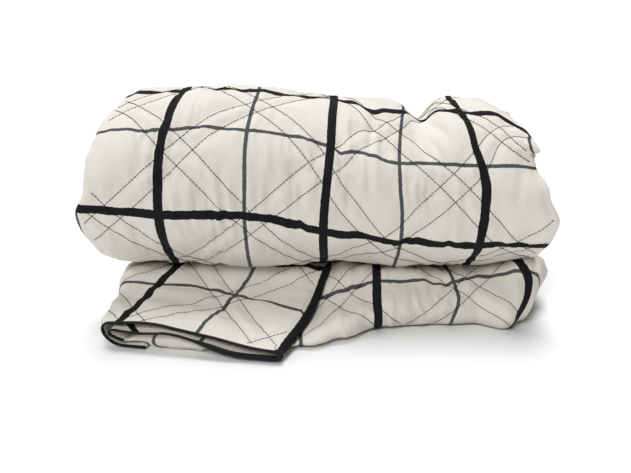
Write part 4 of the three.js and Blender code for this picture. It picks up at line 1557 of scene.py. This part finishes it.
def check_group():
    """The print: black and grey bands, halfway between each other, both ways over a plain ground"""
    inputs = (
        ("Pitch", "NodeSocketFloat", 0.175),
        ("Black Width", "NodeSocketFloat", 0.011),
        ("Grey Width", "NodeSocketFloat", 0.005),
        ("Ground", "NodeSocketColor", (0.8, 0.8, 0.8, 1)),
        ("Black", "NodeSocketColor", (0, 0, 0, 1)),
        ("Grey", "NodeSocketColor", (0.1, 0.1, 0.1, 1)),
    )
    tree, source, result = new_group("Windowpane Check", inputs, (("Color", "NodeSocketColor"),))
    given = source.outputs
    place = cloth_place(tree)
    wander = noise(tree, place, PRINT_WOBBLE_SCALE, 1)
    wobble = maths(tree, "MULTIPLY_ADD", wander, PRINT_WOBBLE, -PRINT_WOBBLE / 2)
    half_pitch = maths(tree, "MULTIPLY", given["Pitch"], 0.5)

    def band(distance, width):
        """1 within half a band's width, with a slightly soft edge"""
        node = tree.nodes.new("ShaderNodeMapRange")
        node.interpolation_type = "SMOOTHSTEP"
        half = maths(tree, "MULTIPLY", width, 0.5)
        connect(tree, distance, node.inputs["Value"])
        connect(tree, maths(tree, "SUBTRACT", half, PRINT_EDGE), node.inputs["From Min"])
        connect(tree, maths(tree, "ADD", half, PRINT_EDGE), node.inputs["From Max"])
        node.inputs["To Min"].default_value = 1
        node.inputs["To Max"].default_value = 0
        return node.outputs["Result"]

    black, grey = [], []
    for measure in parted(tree, place):
        wavy = maths(tree, "ADD", measure, wobble)
        from_black = maths(tree, "PINGPONG", wavy, half_pitch)
        black.append(band(from_black, given["Black Width"]))
        grey.append(band(maths(tree, "SUBTRACT", half_pitch, from_black), given["Grey Width"]))
    with_grey = mixed(tree, maths(tree, "MAXIMUM", *grey), given["Ground"], given["Grey"])
    printed = mixed(tree, maths(tree, "MAXIMUM", *black), with_grey, given["Black"])
    tree.links.new(printed, result.inputs["Color"])
    return tree


def weave_group():
    """Plain weave: raised threads both ways, uneven in thickness, and a slight unevenness of tone"""
    inputs = (
        ("Thread Pitch", "NodeSocketFloat", 0.0006),
        ("Color", "NodeSocketColor", (0.8, 0.8, 0.8, 1)),
        ("Unevenness", "NodeSocketFloat", 0.08),
    )
    outputs = (("Color", "NodeSocketColor"), ("Height", "NodeSocketFloat"), ("Roughness", "NodeSocketFloat"))
    tree, source, result = new_group("Cotton Weave", inputs, outputs)
    given = source.outputs
    place = cloth_place(tree)
    turns = maths(tree, "DIVIDE", 2 * math.pi, given["Thread Pitch"])
    waves = [maths(tree, "SINE", maths(tree, "MULTIPLY", measure, turns)) for measure in parted(tree, place)]
    threads = maths(tree, "MULTIPLY", waves[0], waves[1])
    stretch = tree.nodes.new("ShaderNodeMapping")
    stretch.inputs["Scale"].default_value = SLUB_STRETCH
    tree.links.new(place, stretch.inputs["Vector"])
    slubs = noise(tree, stretch.outputs["Vector"], SLUB_SCALE, WEAVE_DETAIL)
    cloudy = noise(tree, place, CLOUD_SCALE, WEAVE_DETAIL)
    height = maths(tree, "ADD", maths(tree, "MULTIPLY", threads, THREAD_RISE), slubs)
    tree.links.new(height, result.inputs["Height"])
    tone = maths(tree, "MULTIPLY_ADD", maths(tree, "ADD", slubs, cloudy), given["Unevenness"], 1.0)
    tone = maths(tree, "SUBTRACT", tone, given["Unevenness"])
    shade = tree.nodes.new("ShaderNodeVectorMath")
    shade.operation = "SCALE"
    tree.links.new(given["Color"], shade.inputs[0])
    tree.links.new(tone, shade.inputs["Scale"])
    tree.links.new(shade.outputs[0], result.inputs["Color"])
    rough = maths(tree, "MULTIPLY_ADD", slubs, SLUB_ROUGHNESS, WEAVE_ROUGHNESS)
    tree.links.new(rough, result.inputs["Roughness"])
    return tree


def shared_group(name, make):
    return bpy.data.node_groups.get(name) or make()


def cloth_material(name, colour_of, finish):
    """A woven cloth whose colour comes from a function of its node tree"""
    if name in bpy.data.materials:
        return bpy.data.materials[name]
    material = bpy.data.materials.new(name)
    material.use_nodes = True
    tree = material.node_tree
    shader = tree.nodes["Principled BSDF"]
    weave = tree.nodes.new("ShaderNodeGroup")
    weave.node_tree = shared_group("Cotton Weave", weave_group)
    weave.inputs["Thread Pitch"].default_value = finish.thread_pitch
    weave.inputs["Unevenness"].default_value = finish.unevenness
    connect(tree, colour_of(tree), weave.inputs["Color"])
    raised = tree.nodes.new("ShaderNodeBump")
    raised.inputs["Strength"].default_value = finish.bump
    raised.inputs["Distance"].default_value = WEAVE_DEPTH
    tree.links.new(weave.outputs["Height"], raised.inputs["Height"])
    tree.links.new(raised.outputs["Normal"], shader.inputs["Normal"])
    tree.links.new(weave.outputs["Color"], shader.inputs["Base Color"])
    tree.links.new(weave.outputs["Roughness"], shader.inputs["Roughness"])
    shader.inputs["Sheen Weight"].default_value = finish.sheen
    shader.inputs["Sheen Roughness"].default_value = SHEEN_ROUGHNESS
    shader.inputs["Specular IOR Level"].default_value = COTTON_SPECULAR
    return material


def checked_colour(tree):
    """The printed check in its own sizes and colours"""
    check = tree.nodes.new("ShaderNodeGroup")
    check.node_tree = shared_group("Windowpane Check", check_group)
    sizes = bpy.context.scene.bedspread_sizes
    check.inputs["Pitch"].default_value = sizes.check_pitch
    check.inputs["Black Width"].default_value = sizes.black_band
    check.inputs["Grey Width"].default_value = sizes.grey_band
    for socket, name in (("Ground", "ground"), ("Black", "black"), ("Grey", "grey")):
        check.inputs[socket].default_value = colour(name)
    return check.outputs["Color"]


def quilted_cotton():
    return cloth_material("Quilted Cotton", checked_colour, COTTON_FINISH)


def black_binding():
    return cloth_material("Black Binding", lambda tree: colour("binding"), TAPE_FINISH)


def quilting_thread():
    return cloth_material("Quilting Thread", lambda tree: colour("thread"), THREAD_FINISH)


def cloth_piece(name, shell):
    """A piece of the quilted cloth itself"""
    return new_piece(name, shell, quilted_cotton(), "quilted_cover")


# Operators


class BEDSPREAD_OT_roll(bpy.types.Operator):
    """Winds the strip of four plies into the roll"""

    bl_idname = "bedspread.roll"
    bl_label = "Roll"

    def execute(self, context):
        piece = cloth_piece("wound_strip", wound_strip())
        return {"FINISHED"}


class BEDSPREAD_OT_lower_stretch(bpy.types.Operator):
    """Lays the strip's last stretch under the roll, tucked under at its front"""

    bl_idname = "bedspread.lower_stretch"
    bl_label = "Lower Stretch"

    def execute(self, context):
        piece = cloth_piece("lower_stretch", lower_stretch())
        return {"FINISHED"}


class BEDSPREAD_OT_loose_end(bpy.types.Operator):
    """Lays out the loose end with its open plies and bound hem"""

    bl_idname = "bedspread.loose_end"
    bl_label = "Loose End"

    def execute(self, context):
        end = cloth_piece("loose_end", loose_end())
        binding = new_piece("hem_tape", hem_binding(), black_binding(), "hem_binding")
        return {"FINISHED"}


class BEDSPREAD_OT_stitches(bpy.types.Operator):
    """Sews the double diamond quilting with dark thread"""

    bl_idname = "bedspread.stitches"
    bl_label = "Quilting Stitches"

    def execute(self, context):
        shell = Shell()
        for area in SEWN_AREAS:
            surface = surface_of(bpy.data.objects[area.piece])
            add_stitches(shell, surface, area.face, *seam_stitches(area.reach, area.inside))
        new_piece("quilting_stitches", shell, quilting_thread(), "quilted_cover")
        return {"FINISHED"}


class BEDSPREAD_OT_stage(bpy.types.Operator):
    """Sets up the floor, the soft lights and the camera"""

    bl_idname = "bedspread.stage"
    bl_label = "Stage"

    def execute(self, context):
        self.add_floor()
        self.add_lights()
        self.add_camera()
        return {"FINISHED"}

    def add_floor(self):
        mesh = bpy.data.meshes.new("studio_floor")
        corners = [(x * FLOOR_REACH, y * FLOOR_REACH, 0) for x, y in ((-1, -1), (1, -1), (1, 1), (-1, 1))]
        mesh.from_pydata(corners, [], [(0, 1, 2, 3)])
        material = bpy.data.materials.new("Studio Floor")
        material.use_nodes = True
        shader = material.node_tree.nodes["Principled BSDF"]
        shader.inputs["Base Color"].default_value = colour("floor")
        shader.inputs["Roughness"].default_value = FLOOR_ROUGHNESS
        mesh.materials.append(material)
        floor = linked("studio_floor", mesh)

    def add_lights(self):
        world = bpy.data.worlds.new("Studio")
        world.use_nodes = True
        backdrop = world.node_tree.nodes["Background"]
        backdrop.inputs["Color"].default_value = (1, 1, 1, 1)
        # Pale to look at, like the floor, but it adds little light
        seen = world.node_tree.nodes.new("ShaderNodeLightPath").outputs["Is Camera Ray"]
        brightness = maths(world.node_tree, "MAXIMUM", seen, WORLD_STRENGTH)
        world.node_tree.links.new(brightness, backdrop.inputs["Strength"])
        bpy.context.scene.world = world
        bpy.context.scene.view_settings.view_transform = "Standard"
        for name, tilt, turn, spread, strength in SOFT_LIGHTS:
            light = bpy.data.lights.new(name, "SUN")
            light.angle = math.radians(spread)
            light.energy = strength
            lamp = linked(name, light)
            lamp.rotation_euler = (math.radians(tilt), 0, math.radians(turn))

    def add_camera(self):
        lens = bpy.data.cameras.new("photo_view")
        lens.sensor_width = SENSOR_WIDTH
        lens.lens = FOCAL_PIXELS * SENSOR_WIDTH / PICTURE_WIDTH
        camera = linked("photo_view", lens)
        y = -VIEW_DEPTH * math.cos(VIEW_PITCH) - VIEW_RISE * math.sin(VIEW_PITCH)
        z = size("axis_height") + VIEW_DEPTH * math.sin(VIEW_PITCH) - VIEW_RISE * math.cos(VIEW_PITCH)
        camera.location = (0, y * MM, z * MM)
        camera.rotation_euler = (math.pi / 2 - VIEW_PITCH, 0, 0)
        bpy.context.scene.camera = camera


class BEDSPREAD_PT_panel(bpy.types.Panel):
    """Lists the bedspread's pieces, sizes and colours"""

    bl_idname = "BEDSPREAD_PT_panel"
    bl_label = "Rolled Bedspread"
    bl_space_type = "VIEW_3D"
    bl_region_type = "UI"
    bl_category = "Bedspread"

    def draw(self, context):
        for operator in OPERATORS:
            self.layout.operator(operator.bl_idname)
        for group in (context.scene.bedspread_sizes, context.scene.bedspread_colours):
            column = self.layout.column(align=True)
            for name in group.__annotations__:
                column.prop(group, name)


OPERATORS = (
    BEDSPREAD_OT_lower_stretch,
    BEDSPREAD_OT_loose_end,
    BEDSPREAD_OT_roll,
    BEDSPREAD_OT_stitches,
    BEDSPREAD_OT_stage,
)
CLASSES = (BedspreadSizes, BedspreadColours, *OPERATORS, BEDSPREAD_PT_panel)


def register():
    for item in CLASSES:
        bpy.utils.register_class(item)
    bpy.types.Scene.bedspread_sizes = bpy.props.PointerProperty(type=BedspreadSizes)
    bpy.types.Scene.bedspread_colours = bpy.props.PointerProperty(type=BedspreadColours)


def unregister():
    del bpy.types.Scene.bedspread_colours
    del bpy.types.Scene.bedspread_sizes
    for item in reversed(CLASSES):
        bpy.utils.unregister_class(item)


def main():
    register()
    bpy.ops.bedspread.lower_stretch()
    bpy.ops.bedspread.loose_end()
    bpy.ops.bedspread.roll()
    bpy.ops.bedspread.stitches()
    bpy.ops.bedspread.stage()


if __name__ == "__main__":
    main()
